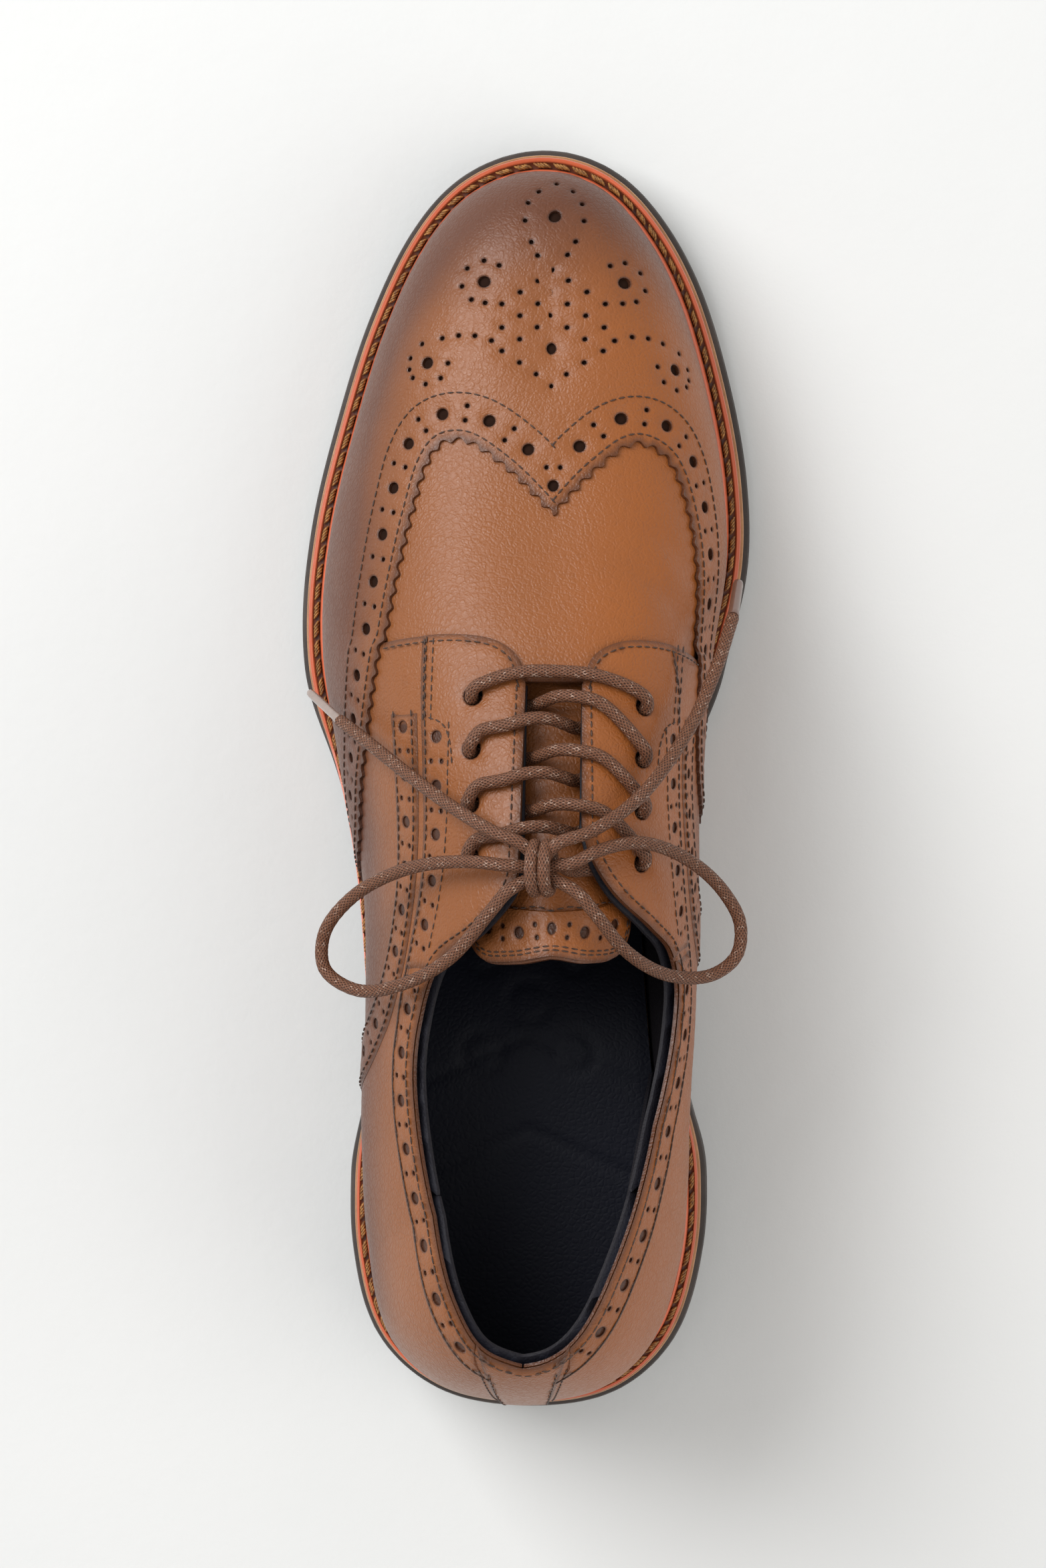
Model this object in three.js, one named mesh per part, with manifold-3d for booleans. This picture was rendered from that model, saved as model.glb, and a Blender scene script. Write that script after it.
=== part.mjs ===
// Left shoe of a pair: a full-brogue leather shoe with open lacing, a storm welt and a stacked heel.
// Millimetres, +Z up, +Y to the toe, +X to the medial (inner) side. The origin lies on the ground.
//
// The upper is drawn as flat pattern pieces and wrapped on a last. The last is a dome of sections, each one
// running from the feather line (the edge of the insole) up to the ridge. Laid flat, every section keeps its
// true length, so a pattern piece keeps its size when it is wrapped. Leather layers are offsets of the last.

import * as THREE from 'three';
import { mergeVertices } from 'three/addons/utils/BufferGeometryUtils.js';
import Module from 'manifold-3d';

const wasm = await Module();
wasm.setup();

// ---------------------------------------------------------------- driving sizes

const SHOE_LENGTH = 300;          // outsole, toe to heel
const BALL_WIDTH = 109;           // outsole at its widest
const INSTEP_HEIGHT = 86;         // ridge of the last above the insole's level, at mid length

const LEATHER = 1.0;              // each layer of the upper
const SEAM_GAP = 0.3;             // between neighbouring solids
const TONGUE_THICKNESS = 2.0;
const FACING_GAP = 12.5;          // between the two rows of eyelets
const EYELET_PITCH = 12;
const EYELET_PAIRS = 4;
const EYELET_RING = 1.8;          // width of the metal round an eyelet hole

const LACE_DIAMETER = 3.1;
const LACE_PLAY = 1.0;            // between the lace and its hole, all round
const LACE_CLEARANCE = 0.6;       // between the lace and the faces it runs along

const OUTSOLE = 6;
const MIDSOLE = 3;
const WELT = 3;
const WELT_REACH_TOE = 5;         // visible width of the welt at the forepart
const WELT_REACH_HEEL = 3.4;
const MIDSOLE_REACH = 1;          // midsole past the welt
const OUTSOLE_REACH = 1;          // outsole past the midsole
const TOE_SPRING = 11;

const INSOLE = 2.5;
const CUSHION = 1.5;
const SOCK = 1.2;
const SHANK_LENGTH = 104;
const SHANK_WIDTH = 13;
const SHANK_THICKNESS = 1.6;

const TOP_PIECE = 6;              // the rubber lift that touches the ground
const HEEL_LIFT = 4.7;
const HEEL_LIFTS = 3;
const NAIL_RADIUS = 1.2;
const NAIL_BASE = 9;              // height of the nails' points above the ground

// ---------------------------------------------------------------- grading and levels

const SAMPLE_LENGTH = 300;
const SAMPLE_WIDTH = 109;
const gradeX = BALL_WIDTH / SAMPLE_WIDTH;
const gradeY = SHOE_LENGTH / SAMPLE_LENGTH;
const SAMPLE_INSTEP = 86;
const gradeZ = INSTEP_HEIGHT / SAMPLE_INSTEP;

const heelHeight = TOP_PIECE + HEEL_LIFTS * (HEEL_LIFT + SEAM_GAP) + SEAM_GAP;
const midsoleLevel = OUTSOLE + SEAM_GAP;
const weltLevel = midsoleLevel + MIDSOLE + SEAM_GAP;
const insoleLevel = weltLevel + WELT + SEAM_GAP;
const featherLevel = insoleLevel + SEAM_GAP;

// Lower and upper offset of a leather layer from the last; layer 0 is the lining.
const layer = (index) => {
  const inner = index * (LEATHER + SEAM_GAP);
  return [inner, inner + LEATHER];
};
const LINING_LAYER = 0;
const STIFFENER_LAYER = 1;
const QUARTER_LAYER = 2;
const OVERLAY_LAYER = 3;
const upperThickness = layer(OVERLAY_LAYER)[1];

const laceRadius = LACE_DIAMETER / 2;
const holeRadius = laceRadius + LACE_PLAY;
const laceOver = upperThickness + LACE_CLEARANCE + laceRadius;
const laceUnder = -LACE_CLEARANCE - laceRadius;
const tongueTop = laceUnder - laceRadius - LACE_CLEARANCE;

// Height of the sole's lower face: flat under the ball, raised at the toe and at the heel.
const HEEL_BREAST = -72 * gradeY;
const ARCH_START = 12 * gradeY;
const SPRING_START = 80 * gradeY;
const SPRING_RUN = 70 * gradeY;

function soleBottom(y) {
  const toe = Math.max(0, y - SPRING_START) / SPRING_RUN;
  const arch = THREE.MathUtils.smoothstep(-y, -ARCH_START, -HEEL_BREAST);
  return TOE_SPRING * toe * toe + heelHeight * arch;
}

// ---------------------------------------------------------------- the last

const COLUMNS = 22;               // sections from heel to toe, on each side
const ROWS = 5;                   // steps from ridge to feather line

const planCurve = (points) => new THREE.CatmullRomCurve3(
  points.map(([x, y]) => new THREE.Vector3(x * gradeX, y * gradeY, 0)),
  false,
  'centripetal',
);

const heelPoint = [2.5, -142];
const toePoint = [4, 138];
const featherLateral = planCurve([
  heelPoint, [-14, -139.5], [-25.5, -130], [-30.5, -112], [-30.5, -85], [-31, -55], [-33.5, -25],
  [-38.5, 3], [-42.5, 32], [-40.5, 56], [-34.5, 81], [-27, 104], [-17.5, 123], [-8, 133.5], toePoint,
]);
const featherMedial = planCurve([
  heelPoint, [17, -139.5], [27.5, -130], [33, -112], [33.5, -92], [30.5, -62], [28.5, -30],
  [30.5, 0], [36.5, 28], [41.5, 50], [41.3, 68], [37.8, 88.5], [30.8, 112], [23, 126], [14.5, 134.8], toePoint,
]);
const ridge = new THREE.CatmullRomCurve3(
  [
    [5, -112, 104], [7.8, -70, 103], [9.5, -30, 96], [9.8, 0, 86],
    [9.6, 30, 72], [9, 62, 57], [8, 90, 48.5], [7, 110, 43.5],
  ].map(([x, y, z]) => new THREE.Vector3(x * gradeX, y * gradeY, z * gradeZ)),
  false,
  'centripetal',
);

// Linear reading of a short table of [position, value] pairs.
function readTable(table, position) {
  if (position <= table[0][0]) return table[0][1];
  for (let i = 1; i < table.length; i++) {
    const [start, from] = table[i - 1];
    const [end, to] = table[i];
    if (position <= end) return THREE.MathUtils.lerp(from, to, (position - start) / (end - start));
  }
  return table[table.length - 1][1];
}

// Roundness of the sections: 2 is an ellipse, more is boxier.
const roundnessLateral = [[-142, 2.1], [-110, 1.55], [-60, 1.5], [0, 1.9], [60, 2.2], [138, 2.5]];
const roundnessMedial = [[-142, 2.1], [-80, 1.85], [-20, 2.5], [20, 2.7], [60, 2.4], [138, 2.5]];

const bell = (value, centre, spread) => Math.exp(-(((value - centre) / spread) ** 2));
const swellLateral = (y) => 2.5 + 6 * bell(y, -80, 38);
const swellMedial = (y) => 2.5 + 9.5 * bell(y, -36, 58);

function ridgeAt(y) {
  let low = 0;
  let high = 1;
  for (let i = 0; i < 40; i++) {
    const middle = (low + high) / 2;
    if (ridge.getPoint(middle).y < y) low = middle;
    else high = middle;
  }
  return ridge.getPoint((low + high) / 2);
}

// One section: points from the ridge down to the feather line, in space and laid flat.
function lastSection(lateral, column) {
  const share = column / COLUMNS;
  const foot = (lateral ? featherLateral : featherMedial).getPointAt(share);
  const middle = featherLateral.getPointAt(share).add(featherMedial.getPointAt(share)).multiplyScalar(0.5);
  const along = (middle.y / gradeY - heelPoint[1]) / (toePoint[1] - heelPoint[1]);
  const ridgeEnds = [ridge.getPoint(0).y + 0.01, ridge.getPoint(1).y - 0.01];
  const top = ridgeAt(THREE.MathUtils.lerp(...ridgeEnds, along));
  const outward = new THREE.Vector3(foot.x - top.x, foot.y - top.y, 0);
  const width = outward.length();
  outward.normalize();
  const station = foot.y / gradeY;
  const roundness = readTable(lateral ? roundnessLateral : roundnessMedial, station);
  const swell = (lateral ? swellLateral : swellMedial)(station);
  const base = soleBottom(foot.y) + featherLevel;

  const samples = 200;
  const curve = [];
  for (let i = 0; i <= samples; i++) {
    const angle = Math.PI / 2 * (1 - i / samples);
    const across = Math.cos(angle) ** (2 / roundness);
    const up = Math.sin(angle) ** (2 / roundness);
    const reach = (width + swell * THREE.MathUtils.smoothstep(up, 0, 0.35)) * across;
    curve.push(new THREE.Vector3(
      top.x + outward.x * reach,
      top.y + outward.y * reach,
      THREE.MathUtils.lerp(base, top.z, up),
    ));
  }
  const lengths = [0];
  for (let i = 1; i <= samples; i++) lengths.push(lengths[i - 1] + curve[i].distanceTo(curve[i - 1]));

  const rows = [];
  for (let row = 0; row <= ROWS; row++) {
    const target = lengths[samples] * row / ROWS;
    let i = 1;
    while (i < samples && lengths[i] < target) i++;
    const share = (target - lengths[i - 1]) / (lengths[i] - lengths[i - 1]);
    rows.push({
      point: curve[i - 1].clone().lerp(curve[i], share),
      flat: new THREE.Vector2(top.x + outward.x * target, top.y + outward.y * target),
    });
  }
  return rows;
}

// The last as one net: index(column, row), where row runs from -ROWS (lateral feather) to ROWS (medial).
const net = [];
const netIndex = new Map();
for (let column = 0; column <= COLUMNS; column++) {
  const sides = [lastSection(true, column), lastSection(false, column)];
  const folded = column === 0 || column === COLUMNS;
  for (let row = -ROWS; row <= ROWS; row++) {
    if (folded && row > 0) {
      netIndex.set(`${column},${row}`, netIndex.get(`${column},${-row}`));
      continue;
    }
    netIndex.set(`${column},${row}`, net.length);
    net.push({ ...sides[row < 0 ? 0 : 1][Math.abs(row)], onFeather: Math.abs(row) === ROWS });
  }
}
const index = (column, row) => netIndex.get(`${column},${row}`);

const netTriangles = [];
for (let column = 0; column < COLUMNS; column++) {
  for (let row = -ROWS; row < ROWS; row++) {
    const near = [index(column, row), index(column, row + 1)];
    const far = [index(column + 1, row), index(column + 1, row + 1)];
    netTriangles.push([near[0], near[1], far[1]], [near[0], far[1], far[0]]);
  }
}

const netSurface = new THREE.BufferGeometry().setFromPoints(net.map((node) => node.point));
netSurface.setIndex(netTriangles.flat());
netSurface.computeVertexNormals();
net.forEach((node, i) => {
  node.normal = new THREE.Vector3().fromBufferAttribute(netSurface.getAttribute('normal'), i);
  if (node.onFeather) {
    // The upper's foot follows the sole, whose level changes along the shoe.
    node.normal.setZ(0).normalize();
    const outer = node.point.y + node.normal.y * upperThickness;
    node.normal.z = (soleBottom(outer) - soleBottom(node.point.y)) / upperThickness;
  }
});

// Wrap a flat pattern point on the last, at an offset from it.
function wrap(x, y, offset) {
  let best = null;
  for (const triangle of netTriangles) {
    const [a, b, c] = triangle.map((i) => net[i].flat);
    const area = (b.x - a.x) * (c.y - a.y) - (c.x - a.x) * (b.y - a.y);
    const shareB = ((x - a.x) * (c.y - a.y) - (c.x - a.x) * (y - a.y)) / area;
    const shareC = ((b.x - a.x) * (y - a.y) - (x - a.x) * (b.y - a.y)) / area;
    const shares = [1 - shareB - shareC, shareB, shareC];
    const inside = Math.min(...shares);
    if (!best || inside > best.inside) best = { inside, shares, triangle };
    if (inside >= 0) break;
  }
  const place = new THREE.Vector3();
  best.triangle.forEach((i, corner) => {
    place.addScaledVector(net[i].point, best.shares[corner]);
    place.addScaledVector(net[i].normal, best.shares[corner] * offset);
  });
  return place;
}

// ---------------------------------------------------------------- solids

function toSolid(geometry) {
  const bare = geometry.clone();
  bare.deleteAttribute('normal');
  bare.deleteAttribute('uv');
  const merged = mergeVertices(bare, 1e-4);
  return new wasm.Manifold(new wasm.Mesh({
    numProp: 3,
    vertProperties: new Float32Array(merged.getAttribute('position').array),
    triVerts: new Uint32Array(merged.getIndex().array),
  }));
}

function toGeometry(solid) {
  const mesh = solid.getMesh();
  const geometry = new THREE.BufferGeometry();
  geometry.setAttribute('position', new THREE.BufferAttribute(new Float32Array(mesh.vertProperties), 3));
  geometry.setIndex(new THREE.BufferAttribute(new Uint32Array(mesh.triVerts), 1));
  return geometry;
}

// A vertical prism over a plan outline.
function prism(shape, from, to) {
  const geometry = new THREE.ExtrudeGeometry(shape, { depth: to - from, bevelEnabled: false, curveSegments: 6 });
  geometry.translate(0, 0, from);
  return toSolid(geometry);
}

// A slab across the whole width, with its lower and upper faces given along the shoe's length.
function profileSlab(start, end, step, lower, upper) {
  const count = Math.max(1, Math.round((end - start) / step));
  const stations = Array.from({ length: count + 1 }, (_, i) => THREE.MathUtils.lerp(start, end, i / count));
  const outline = [
    ...stations.map((y) => new THREE.Vector2(y, lower(y))),
    ...stations.slice().reverse().map((y) => new THREE.Vector2(y, upper(y))),
  ];
  const width = 2 * BALL_WIDTH;
  const geometry = new THREE.ExtrudeGeometry(new THREE.Shape(outline), { depth: width, bevelEnabled: false });
  geometry.translate(0, 0, -width / 2);
  geometry.applyMatrix4(new THREE.Matrix4().makeBasis(
    new THREE.Vector3(0, 1, 0),
    new THREE.Vector3(0, 0, 1),
    new THREE.Vector3(1, 0, 0),
  ));
  return toSolid(geometry);
}

// The flat pattern sheet, one unit above and below a slight bowl that keeps its net in place.
const bowl = (x, y) => 1e-4 * (x * x + y * y);
const sheet = (() => {
  const points = [];
  for (const side of [1, -1]) {
    for (const node of net) points.push(node.flat.x, node.flat.y, bowl(node.flat.x, node.flat.y) + side);
  }
  const faces = [];
  for (const [a, b, c] of netTriangles) {
    faces.push(a, b, c, a + net.length, c + net.length, b + net.length);
  }
  const rim = [];
  for (let column = 0; column < COLUMNS; column++) {
    rim.push([index(column + 1, -ROWS), index(column, -ROWS)]);
    rim.push([index(column, ROWS), index(column + 1, ROWS)]);
  }
  for (const [a, b] of rim) {
    faces.push(a, a + net.length, b + net.length, a, b + net.length, b);
  }
  return new wasm.Manifold(new wasm.Mesh({
    numProp: 3,
    vertProperties: new Float32Array(points),
    triVerts: new Uint32Array(faces),
  }));
})();

// A leather piece: its flat outline, wrapped between two offsets (numbers, or functions of the flat y).
function leather(shape, inner, outer) {
  const cut = toGeometry(sheet.intersect(prism(shape, -20, 30)));
  const position = cut.getAttribute('position');
  const read = (offset, y) => (typeof offset === 'function' ? offset(y) : offset);
  for (let i = 0; i < position.count; i++) {
    const x = position.getX(i);
    const y = position.getY(i);
    const isOuter = position.getZ(i) > bowl(x, y);
    const place = wrap(x, y, read(isOuter ? outer : inner, y));
    position.setXYZ(i, place.x, place.y, place.z);
  }
  return cut;
}

const leatherLayer = (shape, index) => leather(shape, ...layer(index));

// ---------------------------------------------------------------- pattern outlines

const graded = ([x, y]) => new THREE.Vector2(x * gradeX, y * gradeY);
const straight = (points) => points.map(graded);
const smooth = (points, steps = 1) => (
  new THREE.SplineCurve(points.map(graded)).getPoints(steps * (points.length - 1))
);
const shapeOf = (...parts) => new THREE.Shape(parts.flat());
const reversed = (points) => points.slice().reverse();

const GAP_CENTRE = 9.8;
const gapLateral = GAP_CENTRE - FACING_GAP / 2 / gradeX;
const gapMedial = GAP_CENTRE + FACING_GAP / 2 / gradeX;
const THROAT = 27.6;              // front end of the facings' gap
const PAST_EDGE = 130;            // any distance outside the feather line

// Topline of the foot opening, from the throat to the back, on each side.
const toplineLateral = [
  ...straight([[gapLateral, THROAT], [gapLateral, -12]]),
  ...smooth([
    [gapLateral - 1, -24], [-6, -34], [-18.8, -43], [-25.5, -56], [-27.5, -69], [-25.6, -83],
    [-21.5, -97], [-17, -108], [-11.5, -120], [-5.5, -130], [2.8, -135],
  ]),
];
const toplineMedial = [
  ...straight([[gapMedial, THROAT], [gapMedial, -10]]),
  ...smooth([
    [gapMedial + 2, -18], [23, -26], [34, -35.5], [43, -43.5], [47.6, -54], [46.3, -65],
    [42, -78], [36.5, -90], [30.5, -101.5], [23.5, -114], [16, -126.5], [9, -133], [3.4, -135],
  ]),
];

// Splits the topline at a flat y behind the facings.
const before = (line, y) => line.filter((point) => point.y > y * gradeY);
const after = (line, y) => line.filter((point) => point.y <= y * gradeY);

const heelSeam = (y) => 2.9 + (y + 135) * 0.084;
const heelLine = (side, half) => straight([
  [heelSeam(-90) + side * half, -90], [heelSeam(-210) + side * half, -210],
]);

const QUARTER_FRONT = 32;
const COLLAR_START = -47;         // where the eyestay meets the collar band, lateral side
const COLLAR_START_MEDIAL = -52;
const HEEL_STRIP_HALF = 10;

const eyestayEdgeLateral = smooth([
  [-35, -53], [-31.5, -34], [-29, -12], [-27, 8], [-25, 21], [-19, 30.5], [-8, 33.6], [gapLateral, THROAT + 3],
]);
const eyestayEdgeMedial = smooth([
  [61, -49], [57, -32], [51.5, -12], [48, 6], [44.5, 20], [38, 29.5], [28, 33.2], [gapMedial, THROAT + 3],
]);
const collarEdgeLateral = smooth([
  [-35.4, -54.4], [-40.5, -70], [-38.5, -88], [-33.5, -104], [-27, -118], [-19, -132], [-9.5, -146],
]);
const collarEdgeMedial = smooth([
  [61.4, -50.4], [59.5, -68], [54, -84], [47, -99], [39.5, -112], [31, -126], [21, -138], [14, -146],
]);

const wingInner = [
  ...smooth([
    [-110, -52], [-62, -23], [-49.3, -2], [-40, 14.5], [-33.9, 29], [-29.1, 45.5], [-24.6, 62],
    [-21, 73], [-17.5, 77.4], [-12, 78], [-3, 72], [GAP_CENTRE - 1.1, 60.3],
  ]),
  ...smooth([
    [GAP_CENTRE - 1.1, 60.3], [19, 71.5], [27, 77.4], [34, 75.6], [37.8, 72], [43.8, 60], [49, 44],
    [55, 26], [62, 8], [74, -14], [120, -50],
  ]).slice(1),
];

// ---------------------------------------------------------------- upper, outside

function wing() {
  return leatherLayer(shapeOf(wingInner, straight([[120, 220], [-110, 220]])), OVERLAY_LAYER);
}

function vamp() {
  return leatherLayer(shapeOf(straight([
    [-PAST_EDGE, 24], [PAST_EDGE, 24], [PAST_EDGE, 92], [-PAST_EDGE, 92],
  ])), STIFFENER_LAYER);
}

const eyeletPlaces = (side) => Array.from({ length: EYELET_PAIRS }, (_, pair) => {
  const setback = side < 0 ? -8 : 29.5;
  const start = side < 0 ? 18.3 : 16.6;
  return new THREE.Vector2(setback * gradeX, start * gradeY - pair * EYELET_PITCH);
});

function circle(centre, radius, corners = 8) {
  return Array.from({ length: corners }, (_, i) => {
    const angle = 2 * Math.PI * i / corners;
    return new THREE.Vector2(centre.x + radius * Math.cos(angle), centre.y + radius * Math.sin(angle));
  });
}

function punched(shape, side) {
  shape.holes = eyeletPlaces(side).map((centre) => new THREE.Path(circle(centre, holeRadius)));
  return shape;
}

function quarterShape(side, front) {
  const line = side < 0 ? toplineLateral : toplineMedial;
  const gap = SEAM_GAP / 2;
  return punched(shapeOf(
    line,
    heelLine(side, gap).slice(1),
    straight([[side * PAST_EDGE, -210], [side * PAST_EDGE, front - 8]]),
    straight([[side < 0 ? -31.5 : 31.5, front], [side < 0 ? -10 : 28, front + 0.8]]),
  ), side);
}

function quarter(side) {
  return leatherLayer(quarterShape(side, QUARTER_FRONT - 1), QUARTER_LAYER);
}

function eyestay(side) {
  const line = side < 0 ? toplineLateral : toplineMedial;
  const edge = side < 0 ? eyestayEdgeLateral : eyestayEdgeMedial;
  const start = side < 0 ? COLLAR_START : COLLAR_START_MEDIAL;
  return leatherLayer(punched(shapeOf(before(line, start), edge), side), OVERLAY_LAYER);
}

function collarBand(side) {
  const line = side < 0 ? toplineLateral : toplineMedial;
  const edge = side < 0 ? collarEdgeLateral : collarEdgeMedial;
  const start = (side < 0 ? COLLAR_START : COLLAR_START_MEDIAL) - 1;
  const stop = heelLine(side, HEEL_STRIP_HALF + SEAM_GAP);
  const band = shapeOf(after(line, start), reversed(edge));
  const beside = shapeOf(stop, straight([[side * PAST_EDGE, -210], [side * PAST_EDGE, 0], [0, 0]]));
  return cutLeather(band, beside, OVERLAY_LAYER);
}

// A leather piece that is the common part of two outlines.
function cutLeather(shape, limit, index) {
  const both = prism(shape, -20, 30).intersect(prism(limit, -20, 30));
  return wrapSolid(sheet.intersect(both), ...layer(index));
}

function wrapSolid(solid, inner, outer) {
  const geometry = toGeometry(solid);
  const position = geometry.getAttribute('position');
  for (let i = 0; i < position.count; i++) {
    const x = position.getX(i);
    const y = position.getY(i);
    const place = wrap(x, y, position.getZ(i) > bowl(x, y) ? outer : inner);
    position.setXYZ(i, place.x, place.y, place.z);
  }
  return geometry;
}

function sideBand(side) {
  const corners = side < 0
    ? [[-41.6, -70], [-36, -54.6], [-44, -58], [-95, -84], [-95, -112], [-50, -76]]
    : [[60, -67.4], [61.8, -50.6], [70, -58], [112, -84], [112, -114], [74, -78]];
  return leatherLayer(shapeOf(straight(corners)), OVERLAY_LAYER);
}

function heelStrip() {
  const left = heelLine(-1, HEEL_STRIP_HALF);
  const right = heelLine(1, HEEL_STRIP_HALF);
  const top = [
    ...after(toplineLateral, -90),
    ...reversed(after(toplineMedial, -90)),
  ];
  const area = shapeOf(top, straight([[PAST_EDGE, -90], [PAST_EDGE, -210], [-PAST_EDGE, -210], [-PAST_EDGE, -90]]));
  return cutLeather(shapeOf(left, reversed(right)), area, OVERLAY_LAYER);
}

// ---------------------------------------------------------------- upper, inside

function vampLining() {
  return leatherLayer(shapeOf(straight([
    [-PAST_EDGE, 23], [PAST_EDGE, 23], [PAST_EDGE, 220], [-PAST_EDGE, 220],
  ])), LINING_LAYER);
}

function quarterLining(side) {
  const line = side < 0 ? toplineLateral : toplineMedial;
  const body = punched(shapeOf(
    line.slice(1),
    straight([[side * PAST_EDGE, -135], [side * PAST_EDGE, 22.6], [side < 0 ? gapLateral : gapMedial, 22.6]]),
  ), side);
  const limit = shapeOf(straight([
    [side * PAST_EDGE, -98], [side * PAST_EDGE, 40], [0, 40], [0, -98],
  ]));
  return cutLeather(body, limit, LINING_LAYER);
}

function heelLining() {
  const around = [
    ...after(toplineLateral, -98.4),
    ...reversed(after(toplineMedial, -98.4)),
  ];
  return leatherLayer(shapeOf(
    straight([[-PAST_EDGE, -98.4]]), around,
    straight([[PAST_EDGE, -98.4], [PAST_EDGE, -210], [-PAST_EDGE, -210]]),
  ), LINING_LAYER);
}

function toePuff() {
  const shape = shapeOf(straight([
    [-PAST_EDGE, 93], [PAST_EDGE, 93], [PAST_EDGE, 220], [-PAST_EDGE, 220],
  ]));
  return leather(shape, layer(STIFFENER_LAYER)[0], layer(QUARTER_LAYER)[1]);
}

function heelCounter() {
  return leatherLayer(shapeOf(smooth([
    [-110, -60], [-60, -72], [-40, -96], [-29, -120], [-17, -139], [2, -146],
    [22, -138], [36, -120], [48, -98], [72, -74], [120, -62],
  ]), straight([[120, -220], [-110, -220]])), STIFFENER_LAYER);
}

function eyeletRing(centre) {
  const shape = new THREE.Shape(circle(centre, holeRadius + EYELET_RING));
  shape.holes = [new THREE.Path(circle(centre, holeRadius))];
  return leatherLayer(shape, STIFFENER_LAYER);
}

// ---------------------------------------------------------------- tongue

const TONGUE_ROOT = 36;
const TONGUE_FREE = 23;           // behind this line the tongue lies below the laces
const tongueDrop = (y) => THREE.MathUtils.lerp(
  -SEAM_GAP,
  tongueTop,
  THREE.MathUtils.smoothstep(-y / gradeY, -TONGUE_ROOT, -TONGUE_FREE),
);

function tongueShape(inset) {
  return shapeOf(smooth([
    [-4 + inset, TONGUE_ROOT], [-9 + inset, 22], [-13 + inset, 4], [-13 + inset, -16],
    [-8 + inset, -29], [0, -36 + inset], [GAP_CENTRE, -38.5 + inset], [19.6, -36 + inset],
    [27.6 - inset, -29], [32.6 - inset, -16], [32.6 - inset, 4], [28.6 - inset, 22],
    [23.6 - inset, TONGUE_ROOT],
  ]));
}

function tongue() {
  return leather(tongueShape(0), (y) => tongueDrop(y) - TONGUE_THICKNESS, tongueDrop);
}

function tongueLining() {
  const top = (y) => tongueDrop(y) - TONGUE_THICKNESS - SEAM_GAP;
  return leather(tongueShape(1), (y) => top(y) - LEATHER, top);
}

function tongueFacing() {
  const strip = prism(shapeOf(straight([[-20, -60], [40, -60], [40, -25], [-20, -25]])), -20, 30);
  const solid = sheet.intersect(prism(tongueShape(0.8), -20, 30).intersect(strip));
  const under = tongueTop + SEAM_GAP;
  return wrapSolid(solid, under, under + LEATHER);
}

// ---------------------------------------------------------------- sole

const weltReach = (y) => THREE.MathUtils.lerp(
  WELT_REACH_HEEL,
  WELT_REACH_TOE,
  THREE.MathUtils.smoothstep(y / gradeY, -110, 0),
);

// Outline at a distance outside the feather line; the distance may change along the shoe.
function featherOutline(distance) {
  const loop = [];
  for (let column = 0; column <= COLUMNS; column++) loop.push(net[index(column, -ROWS)]);
  for (let column = COLUMNS - 1; column > 0; column--) loop.push(net[index(column, ROWS)]);
  return loop.map(({ point, normal }) => {
    const reach = typeof distance === 'function' ? distance(point.y) : distance;
    return new THREE.Vector2(point.x + normal.x * reach, point.y + normal.y * reach);
  });
}

const weltOutline = (extra) => featherOutline((y) => upperThickness + weltReach(y) + extra);

const SOLE_STEP = 13;
function soleLayer(shape, level, thickness) {
  const start = -0.6 * SHOE_LENGTH;
  const end = 0.6 * SHOE_LENGTH;
  const slab = profileSlab(
    start, end, SOLE_STEP,
    (y) => soleBottom(y) + level,
    (y) => soleBottom(y) + level + thickness,
  );
  return slab.intersect(prism(shape, -20, 100));
}

const insideShape = (inset) => new THREE.Shape(featherOutline(-inset));

const nailPlaces = [[-16, -122], [20, -122], [-17, -92], [20, -92]].map(graded);
const nailTop = heelHeight + insoleLevel + INSOLE;
function nail(centre, radius, from, to) {
  const geometry = new THREE.CylinderGeometry(radius, radius, to - from, 8);
  geometry.rotateX(Math.PI / 2);
  geometry.translate(centre.x, centre.y, (from + to) / 2);
  return geometry;
}

// Holes for the nails, open at both faces of the piece but closed below their points.
function drilled(solid, from = NAIL_BASE - SEAM_GAP) {
  let result = solid;
  for (const centre of nailPlaces) {
    result = result.subtract(toSolid(nail(centre, NAIL_RADIUS + SEAM_GAP, from, nailTop + 20)));
  }
  return toGeometry(result);
}

function outsole() {
  const shape = new THREE.Shape(weltOutline(MIDSOLE_REACH + OUTSOLE_REACH));
  return drilled(soleLayer(shape, 0, OUTSOLE));
}

function midsole() {
  return drilled(soleLayer(new THREE.Shape(weltOutline(MIDSOLE_REACH)), midsoleLevel, MIDSOLE));
}

const WELT_SEAT = 1;              // the welt's inner edge, inside the lining's foot
function welt() {
  const whole = soleLayer(new THREE.Shape(weltOutline(0)), weltLevel, WELT);
  return toGeometry(whole.subtract(prism(insideShape(WELT_SEAT), -20, 100)));
}

const SHANK_CENTRE = new THREE.Vector2(1.5 * gradeX, -38 * gradeY);
function slot(length, width) {
  const radius = width / 2;
  const half = length / 2 - radius;
  const shape = new THREE.Shape();
  shape.absarc(SHANK_CENTRE.x, SHANK_CENTRE.y + half, radius, 0, Math.PI, false);
  shape.absarc(SHANK_CENTRE.x, SHANK_CENTRE.y - half, radius, Math.PI, 2 * Math.PI, false);
  return shape;
}

function corkFiller() {
  const body = soleLayer(insideShape(WELT_SEAT + SEAM_GAP), weltLevel, WELT);
  return drilled(body.subtract(prism(slot(SHANK_LENGTH + 2 * SEAM_GAP, SHANK_WIDTH + 2 * SEAM_GAP), -20, 100)));
}

function shank() {
  return toGeometry(soleLayer(slot(SHANK_LENGTH, SHANK_WIDTH), weltLevel + SEAM_GAP, SHANK_THICKNESS));
}

function insoleBoard() {
  return drilled(soleLayer(insideShape(SEAM_GAP), insoleLevel, INSOLE));
}

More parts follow.
